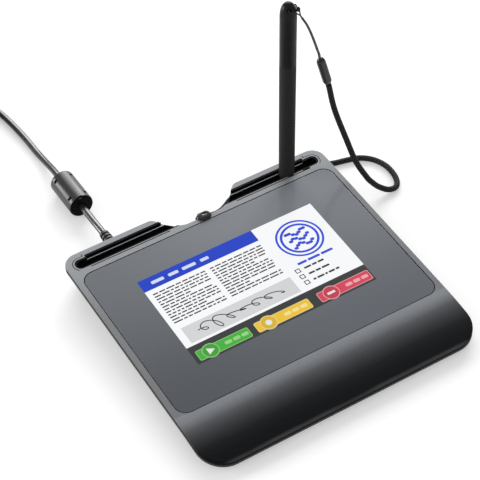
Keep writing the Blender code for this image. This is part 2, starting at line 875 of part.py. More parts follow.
def flexes(deck, finishes, panel_edge_y, sensor_top, shield_bottom):
    """The display's and the sensor's flexible cables, folded back to the main board."""
    lift = flex_thickness / 2.0
    start_z = -glass_sink - glass_thickness - panel_thickness - lift
    low_z = shield_bottom - seat_gap - lift
    fold = sensor_centre_y - sensor_depth / 2.0 - 2.0 * seat_gap - lift
    path = [
        (panel_edge_y, start_z),
        (fold, start_z - lift),
        (fold - lift, (start_z + low_z) / 2.0),
        (fold, low_z + lift),
        (fold + flex_thickness * 4.0, low_z),
        (board_front_y - seat_gap, low_z - lift),
    ]
    ribbon("display_flex", path, display_flex_width, display_flex_x, finishes, deck)
    rear = sensor_centre_y + sensor_depth / 2.0
    out = rear + 4.0 * seat_gap + lift
    middle_z = sensor_top - sensor_thickness / 2.0
    path = [
        (rear + seat_gap, middle_z),
        (out, middle_z - lift),
        (out + lift, low_z + flex_thickness),
        (out, low_z - flex_thickness),
        (rear - flex_thickness, low_z - 2.0 * flex_thickness),
        (board_rear_y - seat_gap * 4.0, low_z - 2.0 * flex_thickness),
    ]
    ribbon("sensor_flex", path, sensor_flex_width, sensor_flex_x, finishes, deck)


# Main board


def board_underside():
    """The height over the table of the main board's lower face."""
    return floor_top + board_post_height + seat_gap


def lead_socket_rear():
    """The back of the lead's socket, close to the board's rear edge."""
    return board_rear_y - 2.0 * seat_gap


def lead_socket_middle():
    """The height of the lead's socket at the middle."""
    return board_underside() + board_thickness + seat_gap + lead_socket_height / 2.0


def board_screw_places():
    """The board screws' axes: one near each corner."""
    right = board_width / 2.0 - board_screw_inset
    rows = (board_front_y + board_screw_inset, board_rear_y - board_screw_inset)
    return [(side * right, y) for y in rows for side in (-1, 1)]


def main_board(finishes):
    """The level main board with its chips, the lead's socket and the four screws that hold it."""
    low = board_underside()
    top = low + board_thickness
    middle = (0.0, (board_front_y + board_rear_y) / 2.0)
    depth = board_rear_y - board_front_y
    bm = bmesh.new()
    prism(bm, rounded_rectangle(board_width, depth, board_corner_radius, middle), low, top)
    board = finish("main_board", bm, finishes["board"])
    holes = bmesh.new()
    for x, y in board_screw_places():
        outline = circle(board_screw_shank_radius + seat_gap, (x, y), 10)
        prism(holes, outline, low - overrun, top + overrun)
    combine(board, cutter("board_hole_tool", holes), "DIFFERENCE")

    processor_place = (processor_x, board_rear_y - processor_from_rear)
    memory_place = (memory_x, board_rear_y - memory_from_rear)
    chips = (
        ("processor_chip", (processor_size, processor_size), processor_place, chip_thickness),
        ("memory_chip", memory_size, memory_place, chip_thickness),
        (
            "lead_socket",
            lead_socket_size,
            (lead_socket_x, lead_socket_rear() - lead_socket_size[1] / 2.0),
            lead_socket_height,
        ),
    )
    for name, (width, depth), centre, height in chips:
        bm = bmesh.new()
        outline = rounded_rectangle(width, depth, board_corner_radius / 4.0, centre, 1)
        prism(bm, outline, top + seat_gap, top + seat_gap + height)
        finish(name, bm, finishes["chip"])

    for index, (x, y) in enumerate(board_screw_places()):
        head_low = top + seat_gap
        profile = (
            (board_screw_shank_radius, top - board_screw_length),
            (board_screw_shank_radius, head_low),
            (board_screw_head_radius, head_low),
            (board_screw_head_radius, head_low + board_screw_head_height / 2.0),
            (board_screw_head_radius / 2.0, head_low + board_screw_head_height),
        )
        bm = bmesh.new()
        turned(bm, profile, 12)
        move(bm, Matrix.Translation((x, y, 0.0)))
        finish(f"board_screw_{index + 1}", bm, finishes["steel"], smooth=True)


# Fasteners and feet


def case_screws(finishes):
    """Six equal screws whose heads sit sunk in the housing's underside."""
    head_low = base_clearance + case_screw_recess
    head_top = head_low + case_screw_head_height
    profile = (
        (case_screw_head_radius / 2.0, head_low),
        (case_screw_head_radius, head_low + case_screw_head_height / 3.0),
        (case_screw_head_radius, head_top),
        (case_screw_shank_radius, head_top),
        (case_screw_shank_radius, head_top + case_screw_length),
    )
    for index, (x, y) in enumerate(case_screw_places()):
        bm = bmesh.new()
        turned(bm, profile, 12)
        move(bm, Matrix.Translation((x, y, 0.0)))
        finish(f"case_screw_{index + 1}", bm, finishes["steel"], smooth=True)


def feet(finishes):
    """Four rubber discs, each pressed into a shallow recess."""
    names = ("foot_rear_left", "foot_rear_right", "foot_front_left", "foot_front_right")
    top = base_clearance + foot_recess - seat_gap
    for name, (x, y) in zip(names, foot_places()):
        bm = bmesh.new()
        rim = foot_recess
        profile = ((foot_radius - rim, 0.0), (foot_radius, rim), (foot_radius, top))
        turned(bm, profile, 20)
        move(bm, Matrix.Translation((x, y, 0.0)))
        finish(name, bm, finishes["rubber"], smooth=True)


# Pen trays


def pen_trays(deck, pen_frame, finishes):
    """The glossy trays in the two rear rails: a trough in front, a ridge and a shelf behind it."""
    rails = bmesh.new()
    prism(rails, even_outline(seat_gap), -tray_height - overrun, overrun)
    outline_tool = cutter("rail_outline_tool", rails, deck)
    for name, side in (("pen_tray_left", -1), ("pen_tray_right", 1)):
        bm = bmesh.new()
        prism(bm, slot_outline(side, -seat_gap), -tray_height, -seat_gap)
        tray = finish(name, bm, finishes["tray"], deck, smooth=True)
        combine(tray, outline_tool, "INTERSECT")
        combine(tray, trough_tool(name, side, deck), "DIFFERENCE")
        if side > 0:
            bm = bmesh.new()
            radius = pen_end_radius + holder_bore_clearance
            prism(bm, circle(radius), 0.0, pen_length / 2.0)
            combine(tray, cutter("tray_pen_tool", bm, pen_frame), "DIFFERENCE")


def trough_tool(name, side, deck):
    """The hollows of one tray: a deep one ahead of the low ridge and a shallow one behind it.

    A wall stays all round, also where the tray follows the curve of the notch.
    """
    front = slot_front_y + seat_gap + tray_wall
    end = slot_end_x - seat_gap - tray_wall
    narrow_rear = slot_narrow_rear_y - seat_gap - tray_wall
    rear = slot_rear_y - seat_gap - tray_wall
    ridge_front = tray_ridge_y - tray_ridge_width / 2.0
    ridge_rear = tray_ridge_y + tray_ridge_width / 2.0
    ridge_end = slot_narrow_from_x
    ridge_top = -seat_gap - tray_ridge_drop
    radius = (narrow_rear - front) / 2.0 - smallest_radius / 4.0
    deep = rounded_polygon(
        (
            (slot_inner_x, front, smallest_radius, 1),
            (end, front, radius, 4),
            (end, narrow_rear, radius, 4),
            (ridge_end, narrow_rear, smallest_radius / 2.0, 1),
            (ridge_end, ridge_front, smallest_radius / 2.0, 1),
            (slot_inner_x, ridge_front, smallest_radius, 1),
        )
    )
    if side < 0:
        deep = [(-x, y) for x, y in reversed(deep)]
    bm = bmesh.new()
    prism(bm, deep, tray_floor - tray_height, overrun)
    hollow = cutter(f"{name}_hollow_tool", bm, deck)
    steps = (
        ("shelf", ridge_rear, ridge_top - tray_shelf_drop, overrun / 2.0),
        ("ridge_top", ridge_front - tray_ridge_width, ridge_top, overrun / 3.0),
    )
    for part, low_y, bottom, top in steps:
        width = ridge_end - tray_wall - slot_inner_x
        middle = (side * (slot_inner_x + width / 2.0), (low_y + rear) / 2.0)
        bm = bmesh.new()
        prism(bm, rounded_rectangle(width, rear - low_y, smallest_radius / 4.0, middle, 1), bottom, top)
        combine(hollow, cutter(f"{name}_{part}_tool", bm, deck), "UNION")
    bm = bmesh.new()
    prism(bm, even_outline(seat_gap + tray_wall), -tray_height, 2.0 * overrun)
    combine(hollow, cutter(f"{name}_limit_tool", bm, deck), "INTERSECT")
    return hollow


# Pen and its holder


def pen_axis_matrix():
    """The pen's frame: origin at the nib's tip, Z up the pen, leaning to the right."""
    on_deck = deck_matrix() @ Vector((pen_x, slot_middle_y, 0.0))
    axis = Vector((math.sin(pen_lean), 0.0, math.cos(pen_lean)))
    tip = on_deck - axis * ((on_deck.z - pen_tip_height) / axis.z)
    return Matrix.Translation(tip) @ Matrix.Rotation(pen_lean, 4, "Y")


def cone_radius_at(height):
    """The pen's outer radius on its conical end."""
    share = min(1.0, max(0.0, (height - nib_reach) / (pen_cone_length - nib_reach)))
    return pen_tip_radius + (pen_end_radius - pen_tip_radius) * math.sin(share * math.pi / 2.0)


def dome_radius_at(share):
    """The pen's radius on its rounded top, at a share of the dome's height."""
    return pen_radius * (1.0 - share**pen_dome_power) ** (1.0 / pen_dome_power)


def pen(pen_frame, finishes):
    """The stylus: barrel, cap with a tether eye, nib, and the coil, force sensor and board inside."""
    clear = nib_radius + seat_gap
    cone = [nib_reach + (pen_cone_length - nib_reach) * step / 5 for step in range(6)]
    outer = [(cone_radius_at(height), height) for height in cone]
    outer += [(pen_end_radius, pen_taper_from_tip), (pen_radius, pen_joint_from_tip)]
    inner = [
        (pen_bore_radius, pen_joint_from_tip),
        (pen_bore_radius, pen_bore_from_tip),
        (clear, pen_bore_from_tip - pen_bore_radius),
        (clear, nib_reach),
    ]
    bm = bmesh.new()
    turned_ring(bm, outer + inner)
    finish("pen_barrel", bm, finishes["pen"], pen_frame, smooth=True)

    low = pen_joint_from_tip + seat_gap
    dome_low = pen_length - pen_dome_height
    spigot = pen_bore_radius - seat_gap
    profile = [
        (spigot, low - pen_spigot_length),
        (spigot, low),
        (pen_radius, low),
        (pen_radius, dome_low),
    ]
    for step in range(1, 9):
        share = math.sin(math.pi / 2.0 * step / 9)
        profile.append((dome_radius_at(share), dome_low + pen_dome_height * share))
    profile.append((0.0, pen_length))
    bm = bmesh.new()
    turned(bm, profile)
    cap = finish("pen_cap", bm, finishes["pen"], pen_frame, smooth=True)
    bm = bmesh.new()
    prism(bm, circle(eye_radius, sides=12), -2.0 * pen_radius, 2.0 * pen_radius)
    move(bm, eye_matrix())
    combine(cap, cutter("eye_tool", bm, pen_frame), "DIFFERENCE")

    bm = bmesh.new()
    profile = (
        (0.0, 0.0),
        (nib_radius * math.sin(math.radians(45.0)), nib_radius - nib_radius * math.cos(math.radians(45.0))),
        (nib_radius, nib_radius),
        (nib_radius, nib_length),
        (0.0, nib_length),
    )
    turned(bm, profile, 12)
    finish("pen_nib", bm, finishes["nib"], pen_frame, smooth=True)

    bm = bmesh.new()
    coil_top = pen_coil_from_tip + pen_coil_length
    ring = (
        (clear, pen_coil_from_tip),
        (pen_coil_radius, pen_coil_from_tip),
        (pen_coil_radius, coil_top),
        (clear, coil_top),
    )
    turned_ring(bm, ring, 16)
    finish("pen_coil", bm, finishes["copper"], pen_frame, smooth=True)

    sensor_low = nib_length + nib_travel + seat_gap
    bm = bmesh.new()
    prism(bm, circle(pen_coil_radius, sides=16), sensor_low, sensor_low + pen_sensor_length)
    finish("pen_force_sensor", bm, finishes["steel"], pen_frame, smooth=True)

    board_low = sensor_low + pen_sensor_length + seat_gap
    bm = bmesh.new()
    outline = rounded_rectangle(pen_board_width, pen_board_thickness, seat_gap, steps=1)
    prism(bm, outline, board_low, board_low + pen_board_length)
    finish("pen_board", bm, finishes["board"], pen_frame)


def eye_matrix():
    """The tether eye's frame in the pen's frame: Z runs through the hole."""
    height = pen_length - eye_from_top
    across = Matrix.Rotation(eye_turn, 4, "Z")
    off = Matrix.Translation((0.0, -eye_off_axis, height))
    return across @ off @ Matrix.Rotation(math.radians(90.0), 4, "Y")


def pen_holder(pen_frame, finishes):
    """The cup that the pen stands in, with a cone seat for its end."""
    radius = pen_end_radius + holder_bore_clearance
    outside = radius + holder_wall
    low = floor_top + holder_lift - pen_tip_height
    seat = low + holder_floor
    slant = outside * math.hypot(math.sin(pen_lean), math.sin(deck_slope))
    top = over_table(slot_middle_y, tray_height) - pen_tip_height - slant - seat_gap
    inner_low = cone_radius_at(seat + seat_gap) + holder_bore_clearance
    half_cone = holder_cone_depth / 2.0
    waist = cone_radius_at(half_cone) + 2.0 * holder_bore_clearance
    profile = (
        (0.0, low),
        (outside, low),
        (outside, top),
        (radius, top),
        (radius, seat + holder_cone_depth),
        (waist, seat + half_cone),
        (inner_low, seat),
        (0.0, seat),
    )
    bm = bmesh.new()
    turned(bm, profile)
    finish("pen_holder", bm, finishes["base"], pen_frame, smooth=True)


# Tether


def tether_anchor(deck, finishes):
    """A clip over the notch's rail: a domed cap on the deck and a plate down the wall behind it."""
    wall_y = notch_floor_y + seat_gap
    rear_y = wall_y + anchor_plate_thickness
    low = deck_level(rear_y, anchor_plate_bottom)
    middle_y = (anchor_front_y + rear_y) / 2.0
    crown = anchor_cap_height + seat_gap
    section = (
        (wall_y, low),
        (rear_y, low),
        (rear_y, -anchor_cap_height),
        (rear_y - anchor_cap_round / 2.0, crown / 2.0),
        (middle_y + anchor_cap_round / 2.0, crown),
        (middle_y - anchor_cap_round, crown),
        (anchor_front_y + anchor_cap_round / 2.0, crown * 3.0 / 4.0),
        (anchor_front_y, seat_gap),
        (wall_y, seat_gap),
    )
    half = anchor_width / 2.0
    drawn_in_shares = (
        (-half, 11.0 / 20.0),
        (-half + anchor_cap_round / 2.0, 17.0 / 20.0),
        (-half + anchor_cap_round * 3.0 / 2.0, 1.0),
        (half - anchor_cap_round * 3.0 / 2.0, 1.0),
        (half - anchor_cap_round / 2.0, 17.0 / 20.0),
        (half, 11.0 / 20.0),
    )
    loops = []
    for x, share in drawn_in_shares:
        loop = []
        for y, z in section:
            rounded_z = seat_gap + (z - seat_gap) * share if z > seat_gap else z
            loop.append((x, wall_y + (y - wall_y) * share, rounded_z))
        loops.append(loop)
    bm = bmesh.new()
    skin(bm, loops)
    finish("tether_anchor", bm, finishes["tray"], deck, smooth=True)


def smooth_route(route, spacing):
    """Evenly spaced points on a smooth curve through the route's points."""
    knots = [Vector(point) for point in route]
    knots = [knots[0] * 2.0 - knots[1]] + knots + [knots[-1] * 2.0 - knots[-2]]
    fine = []
    for a, b, c, d in zip(knots, knots[1:], knots[2:], knots[3:]):
        for step in range(16):
            t = step / 16
            fine.append(
                0.5
                * (
                    2.0 * b
                    + (c - a) * t
                    + (2.0 * a - 5.0 * b + 4.0 * c - d) * t * t
                    + (3.0 * b - a - 3.0 * c + d) * t * t * t
                )
            )
    fine.append(knots[-2])
    reach = [0.0]
    for before, after in zip(fine, fine[1:]):
        reach.append(reach[-1] + (after - before).length)
    count = max(2, round(reach[-1] / spacing))
    wanted = np.linspace(0.0, reach[-1], count + 1)
    columns = [np.interp(wanted, reach, [point[axis] for point in fine]) for axis in range(3)]
    return [Vector(row) for row in zip(*columns)]


def tube(name, points, radius, finish_material, resolution=2):
    """A round cord along points, closed at both ends."""
    curve = bpy.data.curves.new(name, "CURVE")
    curve.dimensions = "3D"
    curve.bevel_depth = radius
    curve.bevel_resolution = resolution
    curve.use_fill_caps = True
    spline = curve.splines.new("POLY")
    spline.points.add(len(points) - 1)
    for slot, point in zip(spline.points, points):
        slot.co = (*point, 1.0)
    spline.use_smooth = True
    curve.materials.append(finish_material)
    made = bpy.data.objects.new(name, curve)
    bpy.context.collection.objects.link(made)
    return made


def axis_frame(low, high):
    """A frame at low whose Z points to high and whose X lies as level as it can."""
    z = (Vector(high) - Vector(low)).normalized()
    x = Vector((1.0, 0.0, 0.0))
    y = z.cross(x).normalized()
    x = y.cross(z).normalized()
    turn = Matrix((x, y, z)).transposed().to_4x4()
    return Matrix.Translation(low) @ turn


def tether(pen_matrix, finishes):
    """The braided cord from the anchor, the clasp and the thin string through the pen's eye."""
    plate_y = notch_floor_y + seat_gap + anchor_plate_thickness
    start = Vector((0.0, plate_y + segment_gap, deck_level(plate_y, tether_start_height)))
    out = (deck_matrix().to_3x3() @ Vector((0.0, 1.0, 0.0))) * tether_radius
    start = deck_matrix() @ start
    axis = (Vector(clasp_high) - Vector(clasp_low)).normalized() * tether_radius
    end = Vector(clasp_low) - axis.normalized() * segment_gap
    route = [start + out, *tether_route, end - axis]
    points = [start, *smooth_route(route, 4.0 * tether_radius), end]
    tube("tether_cord", points, tether_radius, finishes["cord"])

    frame = axis_frame(clasp_low, clasp_high)
    along_and_size_shares = (
        (0.0, 3.0 / 5.0),
        (1.0 / 10.0, 1.0),
        (4.0 / 5.0, 1.0),
        (19.0 / 20.0, 4.0 / 5.0),
        (1.0, 1.0 / 2.0),
    )
    loops = []
    for along_share, size_share in along_and_size_shares:
        width, thickness = clasp_width * size_share, clasp_thickness * size_share
        outline = rounded_rectangle(width, thickness, thickness / 3.0, steps=2)
        loops.append(at_height(outline, clasp_length * along_share))
    bm = bmesh.new()
    skin(bm, loops)
    move(bm, frame)
    finish("tether_clasp", bm, finishes["tray"], smooth=True)

    tube("tether_string", string_points(pen_matrix), string_radius, finishes["cord"])


def string_points(pen_matrix):
    """The string's loop: up from the clasp, in at the eye's right mouth, out in front and back down.

    The two strands run side by side along string_route. The first one enters the eye, the second
    one comes out of its front mouth and turns round the pen.
    """
    eye = pen_matrix @ eye_matrix()
    axis = (Vector(clasp_high) - Vector(clasp_low)).normalized()
    start = Vector(clasp_high) + axis * segment_gap
    side = Vector((0.0, 1.0, 0.0)) * (string_radius + string_strand_gap / 2.0)
    knots = [start, start + axis * 2.0 * string_radius, *(Vector(point) for point in string_route)]
    up = [knot + side for knot in knots]
    down = [knot - side for knot in knots[::-1]]
    mouth = pen_radius * 3.0 / 4.0
    through = [eye @ Vector((0.0, 0.0, along)) for along in (mouth, 0.0, -mouth)]
    return smooth_route([*up, *string_entry, *through, *string_exit, *down], 5.0 * string_radius)


# USB lead


def rear_wall_faces():
    """The inner and the outer face of the rear wall, as Y over the table at the lead's height."""
    rear = pad_rear_y
    rim_depth = top_edge_thickness + seat_gap + rim_height
    ends = (
        (rear - base_rear_inset - shell_wall, floor_top, rear - shell_wall),
        (rear - base_rear_inset, base_clearance, rear),
    )
    faces = []
    for low_y, low_height, high_y in ends:
        low = deck_matrix() @ Vector((0.0, low_y, deck_level(low_y, low_height)))
        high = deck_matrix() @ Vector((0.0, high_y, -rim_depth))
        share = (lead_exit_height - low.z) / (high.z - low.z)
        faces.append(low.y + (high.y - low.y) * share)
    return faces


def boot_places():
    """Where the boot's flange starts and ends and where its tail starts and ends, along Y."""
    inner, outer = rear_wall_faces()
    inside, outside = inner - seat_gap, outer + seat_gap
    return inside - boot_flange_thickness, inside, outside, outside + boot_length


def lead_boot(finishes):
    """The ribbed strain relief: a flange inside the wall, a neck through it and a tapered tail."""
    flange_end, inside, outside, _ = boot_places()
    profile = [
        (boot_flange_radius, flange_end),
        (boot_flange_radius, inside),
        (boot_neck_radius, inside),
        (boot_neck_radius, outside),
        (boot_outer_radius, outside),
    ]
    pitch = boot_length / (boot_ribs + 1)
    for rib in range(boot_ribs):
        start = outside + pitch * (rib + 1) - boot_rib_width / 2.0
        stop = start + boot_rib_width
        for place, depth in ((start, 0.0), (start, boot_rib_depth), (stop, boot_rib_depth), (stop, 0.0)):
            share = (place - outside) / boot_length
            radius = boot_outer_radius + (boot_end_radius - boot_outer_radius) * share
            profile.append((radius - depth, place))
    profile.append((boot_end_radius, outside + boot_length))
    bm = bmesh.new()
    turned(bm, profile, 16)
    move(bm, Matrix.Translation((lead_x, 0.0, lead_exit_height)) @ along_y())
    finish("usb_boot", bm, finishes["cable"], smooth=True)


def ferrite(finishes):
    """The ferrite bead: a tube of ferrite in a case of two halves with round ends."""
    bore = cable_radius + ferrite_core_bore_clearance
    outer = ferrite_radius
    length = ferrite_length
    around = []
    for step in range(4):
        angle = math.radians(90.0) * step / 3
        inset = ferrite_edge_round * (1.0 - math.sin(angle))
        around.append((outer - inset, ferrite_edge_round * (1.0 - math.cos(angle))))
    profile = [(bore, 0.0)] + around
    profile += [(radius, length - height) for radius, height in reversed(around)]
    profile += [(bore, length)]
    hollow_radius = outer - ferrite_wall
    hollow = [
        (bore, length - ferrite_wall),
        (hollow_radius, length - ferrite_wall),
        (hollow_radius, ferrite_wall),
        (bore, ferrite_wall),
    ]
    steps = 12
    frame = Matrix.Translation((ferrite_x, ferrite_start_y, ferrite_radius)) @ along_y()
    for name, start in (("ferrite_case_upper", 180.0), ("ferrite_case_lower", 0.0)):
        bm = bmesh.new()
        loops = []
        tilt = seat_gap / (2.0 * outer)
        for step in range(steps + 1):
            angle = math.radians(start) + tilt + (math.pi - 2.0 * tilt) * step / steps
            section = profile + hollow
            loops.append([(r * math.cos(angle), r * math.sin(angle), h) for r, h in section])
        skin(bm, loops)
        move(bm, frame)
        finish(name, bm, finishes["ferrite"], smooth=True)
    gap = ferrite_wall + seat_gap
    ring = (
        (bore, gap),
        (hollow_radius - seat_gap, gap),
        (hollow_radius - seat_gap, length - gap),
        (bore, length - gap),
    )
    bm = bmesh.new()
    turned_ring(bm, ring)
    move(bm, frame)
    finish("ferrite_core", bm, finishes["chip"], smooth=True)


def coil_points():
    """The wound lead: spirals in and out in layers, climbing in the half turn where it reverses."""
    loops = coil_loops_per_layer * coil_layers
    outer = coil_mean_radius + coil_pitch * coil_loops_per_layer / 2.0
    base = cable_radius + coil_lift
    count = round(loops * coil_points_per_loop)
    points = []
    for index in range(count + 1):
        turns = loops * index / count
        layer = min(int(turns / coil_loops_per_layer), coil_layers - 1)
        share = turns / coil_loops_per_layer - layer
        drawn = share if layer % 2 == 0 else 1.0 - share
        radius = outer - coil_pitch * coil_loops_per_layer * drawn
        climb = 0.0
        for reversal in range(1, coil_layers):
            passed = (turns - coil_loops_per_layer * reversal) / 0.5 + 0.5
            passed = min(1.0, max(0.0, passed))
            climb += passed * passed * (3.0 - 2.0 * passed)
        angle = 2.0 * math.pi * turns
        points.append(
            Vector(
                (
                    coil_centre[0] + radius * math.cos(angle),
                    coil_centre[1] + radius * math.sin(angle),
                    base + coil_pitch * climb,
                )
            )
        )
    straight = 2.0 * cable_radius
    points.insert(0, points[0] - Vector((0.0, straight, 0.0)))
    points.append(points[-1] - Vector((0.0, straight, 0.0)))
    return points


def least_gap(points, diameter):
    """The least gap of a tube to itself, between stretches more than a third of a loop apart."""
    places = np.array(points)
    apart = coil_points_per_loop // 3
    least = math.inf
    for index, place in enumerate(places):
        later = places[index + apart :]
        if len(later) > 1:
            along = later[1:] - later[:-1]
            share = ((place - later[:-1]) * along).sum(axis=1) / (along * along).sum(axis=1)
            nearest = later[:-1] + along * np.clip(share, 0.0, 1.0)[:, None]
            least = min(least, float(np.linalg.norm(place - nearest, axis=1).min()))
    return least - diameter


def length_of(points):
    """The length of a line through points."""
    return sum((after - before).length for before, after in zip(points, points[1:]))


def lead(finishes):
    """The USB lead outside the housing: the free cable, its put-away coil, the tie, the tail and the
    lead inside the housing."""
    coil = coil_points()
    spacing = 5.0 * cable_radius
    flange_end, _, _, boot_end = boot_places()
    step = Vector((0.0, 2.0 * cable_radius, 0.0))
    start = Vector((lead_x, boot_end + segment_gap, lead_exit_height))
    entry = coil[0] - Vector((0.0, segment_gap, 0.0))
    cable = [start, *smooth_route([start + step, *cable_route, entry - step], spacing), entry]
    leave = coil[-1] - Vector((0.0, segment_gap, 0.0))
    tail = [leave, *smooth_route([leave - step, *tail_route], spacing)]
    tube("usb_cable", cable, cable_radius, finishes["cable"])
    tube("usb_coil", coil, cable_radius, finishes["cable"], 1)
    tube("usb_tail", tail, cable_radius, finishes["cable"])
    step = Vector((0.0, 2.0 * inner_lead_radius, 0.0))
    start = Vector((lead_x, flange_end - segment_gap, lead_exit_height))
    end = Vector((lead_socket_x, lead_socket_rear() + segment_gap, lead_socket_middle()))
    route = [start - step, *inner_lead_route, end + step]
    inner = [start, *smooth_route(route, 5.0 * inner_lead_radius), end]
    tube("usb_inner_lead", inner, inner_lead_radius, finishes["cable"])
    print("coil's least gap to itself, mm:", round(least_gap(coil, 2.0 * cable_radius) * 1000.0, 3))
    total = length_of(cable) + length_of(coil) + length_of(tail)
    print("USB lead outside the housing, m:", round(total, 3))


def coil_tie(finishes):
    """A strap round the bundle on the coil's far side."""
    half = coil_pitch * coil_loops_per_layer / 2.0 + cable_radius
    inner_edge = coil_mean_radius - half
    near = math.sqrt(inner_edge**2 - (tie_width / 2.0) ** 2) - seat_gap
    far = coil_mean_radius + half + seat_gap
    low = coil_lift - seat_gap
    high = coil_lift + 2.0 * cable_radius + coil_pitch * (coil_layers - 1) + seat_gap
    middle = ((near + far) / 2.0, (low + high) / 2.0)
    inside = rounded_rectangle(far - near, high - low, tie_corner_radius / 2.0, middle)
    grow = 2.0 * tie_thickness
    outside = rounded_rectangle(far - near + grow, high - low + grow, tie_corner_radius, middle)
    left, right = -tie_width / 2.0, tie_width / 2.0

    def section(outline, x):
        return [(coil_centre[0] + x, coil_centre[1] + y, z) for y, z in outline]

    bm = bmesh.new()
    loops = [section(outside, left), section(outside, right), section(inside, right), section(inside, left)]
    skin(bm, loops, closed=True)
    finish("coil_tie", bm, finishes["cord"], smooth=True)


def usb_plug(finishes):
    """The plug on the lead's end: a moulded grip, the metal shell and the tongue inside it."""
    end = Vector(tail_route[-1])
    width, length, height = plug_grip_size
    frame = Matrix.Translation((end.x, end.y - segment_gap, end.z)) @ Matrix.Rotation(
        math.radians(90.0), 4, "X"
    )
    bm = bmesh.new()
    along_and_size_shares = ((0.0, 1.0 / 2.0), (1.0 / 5.0, 9.0 / 10.0), (2.0 / 5.0, 1.0), (1.0, 1.0))
    loops = []
    for along_share, size_share in along_and_size_shares:
        outline = rounded_rectangle(width * size_share, height * size_share, plug_grip_radius * size_share)
        loops.append(at_height(outline, length * along_share))
    skin(bm, loops)
    move(bm, frame)
    grip = finish("usb_plug_grip", bm, finishes["cable"], smooth=True)

    shell_width, shell_length, shell_height = plug_shell_size
    bm = bmesh.new()
    room = 2.0 * seat_gap
    outline = rounded_rectangle(shell_width + room, shell_height + room, seat_gap * 2.0, steps=2)
    prism(bm, outline, length - plug_inset, length + overrun)
    move(bm, frame)
    combine(grip, cutter("grip_tool", bm), "DIFFERENCE")

    bm = bmesh.new()
    low = length - plug_inset + seat_gap
    outside = rounded_rectangle(shell_width, shell_height, seat_gap * 2.0, steps=2)
    drawn = 2.0 * plug_shell_wall
    inside = rounded_rectangle(shell_width - drawn, shell_height - drawn, seat_gap, steps=2)
    floor_at = low + plug_shell_wall
    loops = [at_height(inside, floor_at), at_height(inside, low + shell_length)]
    loops += [at_height(outside, low + shell_length), at_height(outside, low)]
    skin(bm, loops)
    move(bm, frame)
    finish("usb_plug_shell", bm, finishes["steel"], smooth=True)

    tongue_width, tongue_length, tongue_height = plug_tongue_size
    bm = bmesh.new()
    shift = (shell_height / 2.0 - plug_shell_wall - seat_gap) - tongue_height / 2.0
    outline = rounded_rectangle(tongue_width, tongue_height, seat_gap, (0.0, shift), 1)
    tongue_low = floor_at + seat_gap
    prism(bm, outline, tongue_low, tongue_low + tongue_length)
    move(bm, frame)
    finish("usb_plug_tongue", bm, finishes["chip"])


def build():
    """Makes every piece of the pad."""
    clear_scene()
    finishes = make_materials()
    deck = empty("deck_frame", deck_matrix())
    pen_matrix = pen_axis_matrix()
    pen_frame = empty("pen_frame", pen_matrix)

    shell = top_shell(deck, finishes)
    bm = bmesh.new()
    radius = pen_end_radius + holder_bore_clearance
    prism(bm, circle(radius), 0.0, pen_length / 2.0)
    combine(shell, cutter("shell_pen_tool", bm, pen_frame), "DIFFERENCE")
    bottom_shell(deck, finishes)
    frame_bottom = glass_stack(deck, finishes)
    sensor_top, shield_bottom = sensor_stack(deck, finishes, frame_bottom)
    panel_edge_y = display_centre_y - panel_depth / 2.0 - 2.0 * (seat_gap + frame_wall)
    flexes(deck, finishes, panel_edge_y, sensor_top, shield_bottom)
    main_board(finishes)
    case_screws(finishes)
    feet(finishes)
    pen_trays(deck, pen_frame, finishes)
    pen_holder(pen_frame, finishes)
    pen(pen_frame, finishes)
    tether_anchor(deck, finishes)
    tether(pen_matrix, finishes)
    lead_boot(finishes)
    ferrite(finishes)
    lead(finishes)
    coil_tie(finishes)
    usb_plug(finishes)


build()
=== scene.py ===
"""Dresses the signature pad: housing, glass and screen, pen trays, pen, tether and USB lead.

Lengths are metres. The table is Z = 0, X runs to the right and Y to the back. Pieces that lie in the
pad's sloping top are shaped with Z = 0 in that plane and then moved into place.
"""

import logging
import math
import random
from dataclasses import dataclass
from enum import Enum
from typing import Callable, Iterable, Sequence

import bmesh
import bpy
from mathutils import Matrix, Vector


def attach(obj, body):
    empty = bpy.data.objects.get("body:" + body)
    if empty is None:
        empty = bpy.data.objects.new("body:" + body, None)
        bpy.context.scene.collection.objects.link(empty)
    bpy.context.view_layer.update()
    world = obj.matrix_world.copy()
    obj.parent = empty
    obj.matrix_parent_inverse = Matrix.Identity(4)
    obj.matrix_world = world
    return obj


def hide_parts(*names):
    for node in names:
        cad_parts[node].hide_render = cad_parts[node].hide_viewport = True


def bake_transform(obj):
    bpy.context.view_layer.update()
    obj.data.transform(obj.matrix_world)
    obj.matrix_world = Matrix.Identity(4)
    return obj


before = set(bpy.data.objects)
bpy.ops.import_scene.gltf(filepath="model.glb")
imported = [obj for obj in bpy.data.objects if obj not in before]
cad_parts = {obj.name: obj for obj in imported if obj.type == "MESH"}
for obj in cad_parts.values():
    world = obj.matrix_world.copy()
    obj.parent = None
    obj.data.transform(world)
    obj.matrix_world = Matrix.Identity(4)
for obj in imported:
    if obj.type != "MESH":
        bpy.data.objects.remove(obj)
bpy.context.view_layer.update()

LOG = logging.getLogger("signature_pad")
Colour = tuple[float, float, float]
Point = tuple[float, float, float]
# a rectangle's width, depth, corner radius and middle
Box = tuple[float, float, float, float, float]
MM = 0.001
STAY = Matrix.Identity(4)
ALONG_Y = Matrix.Rotation(math.radians(-90.0), 4, "X")
SIDES = (("left", -1), ("right", 1))


class Body(str, Enum):
    """The bodies that pieces ride on."""

    PAD = "pad"
    PEN = "pen"


# Shader recipes


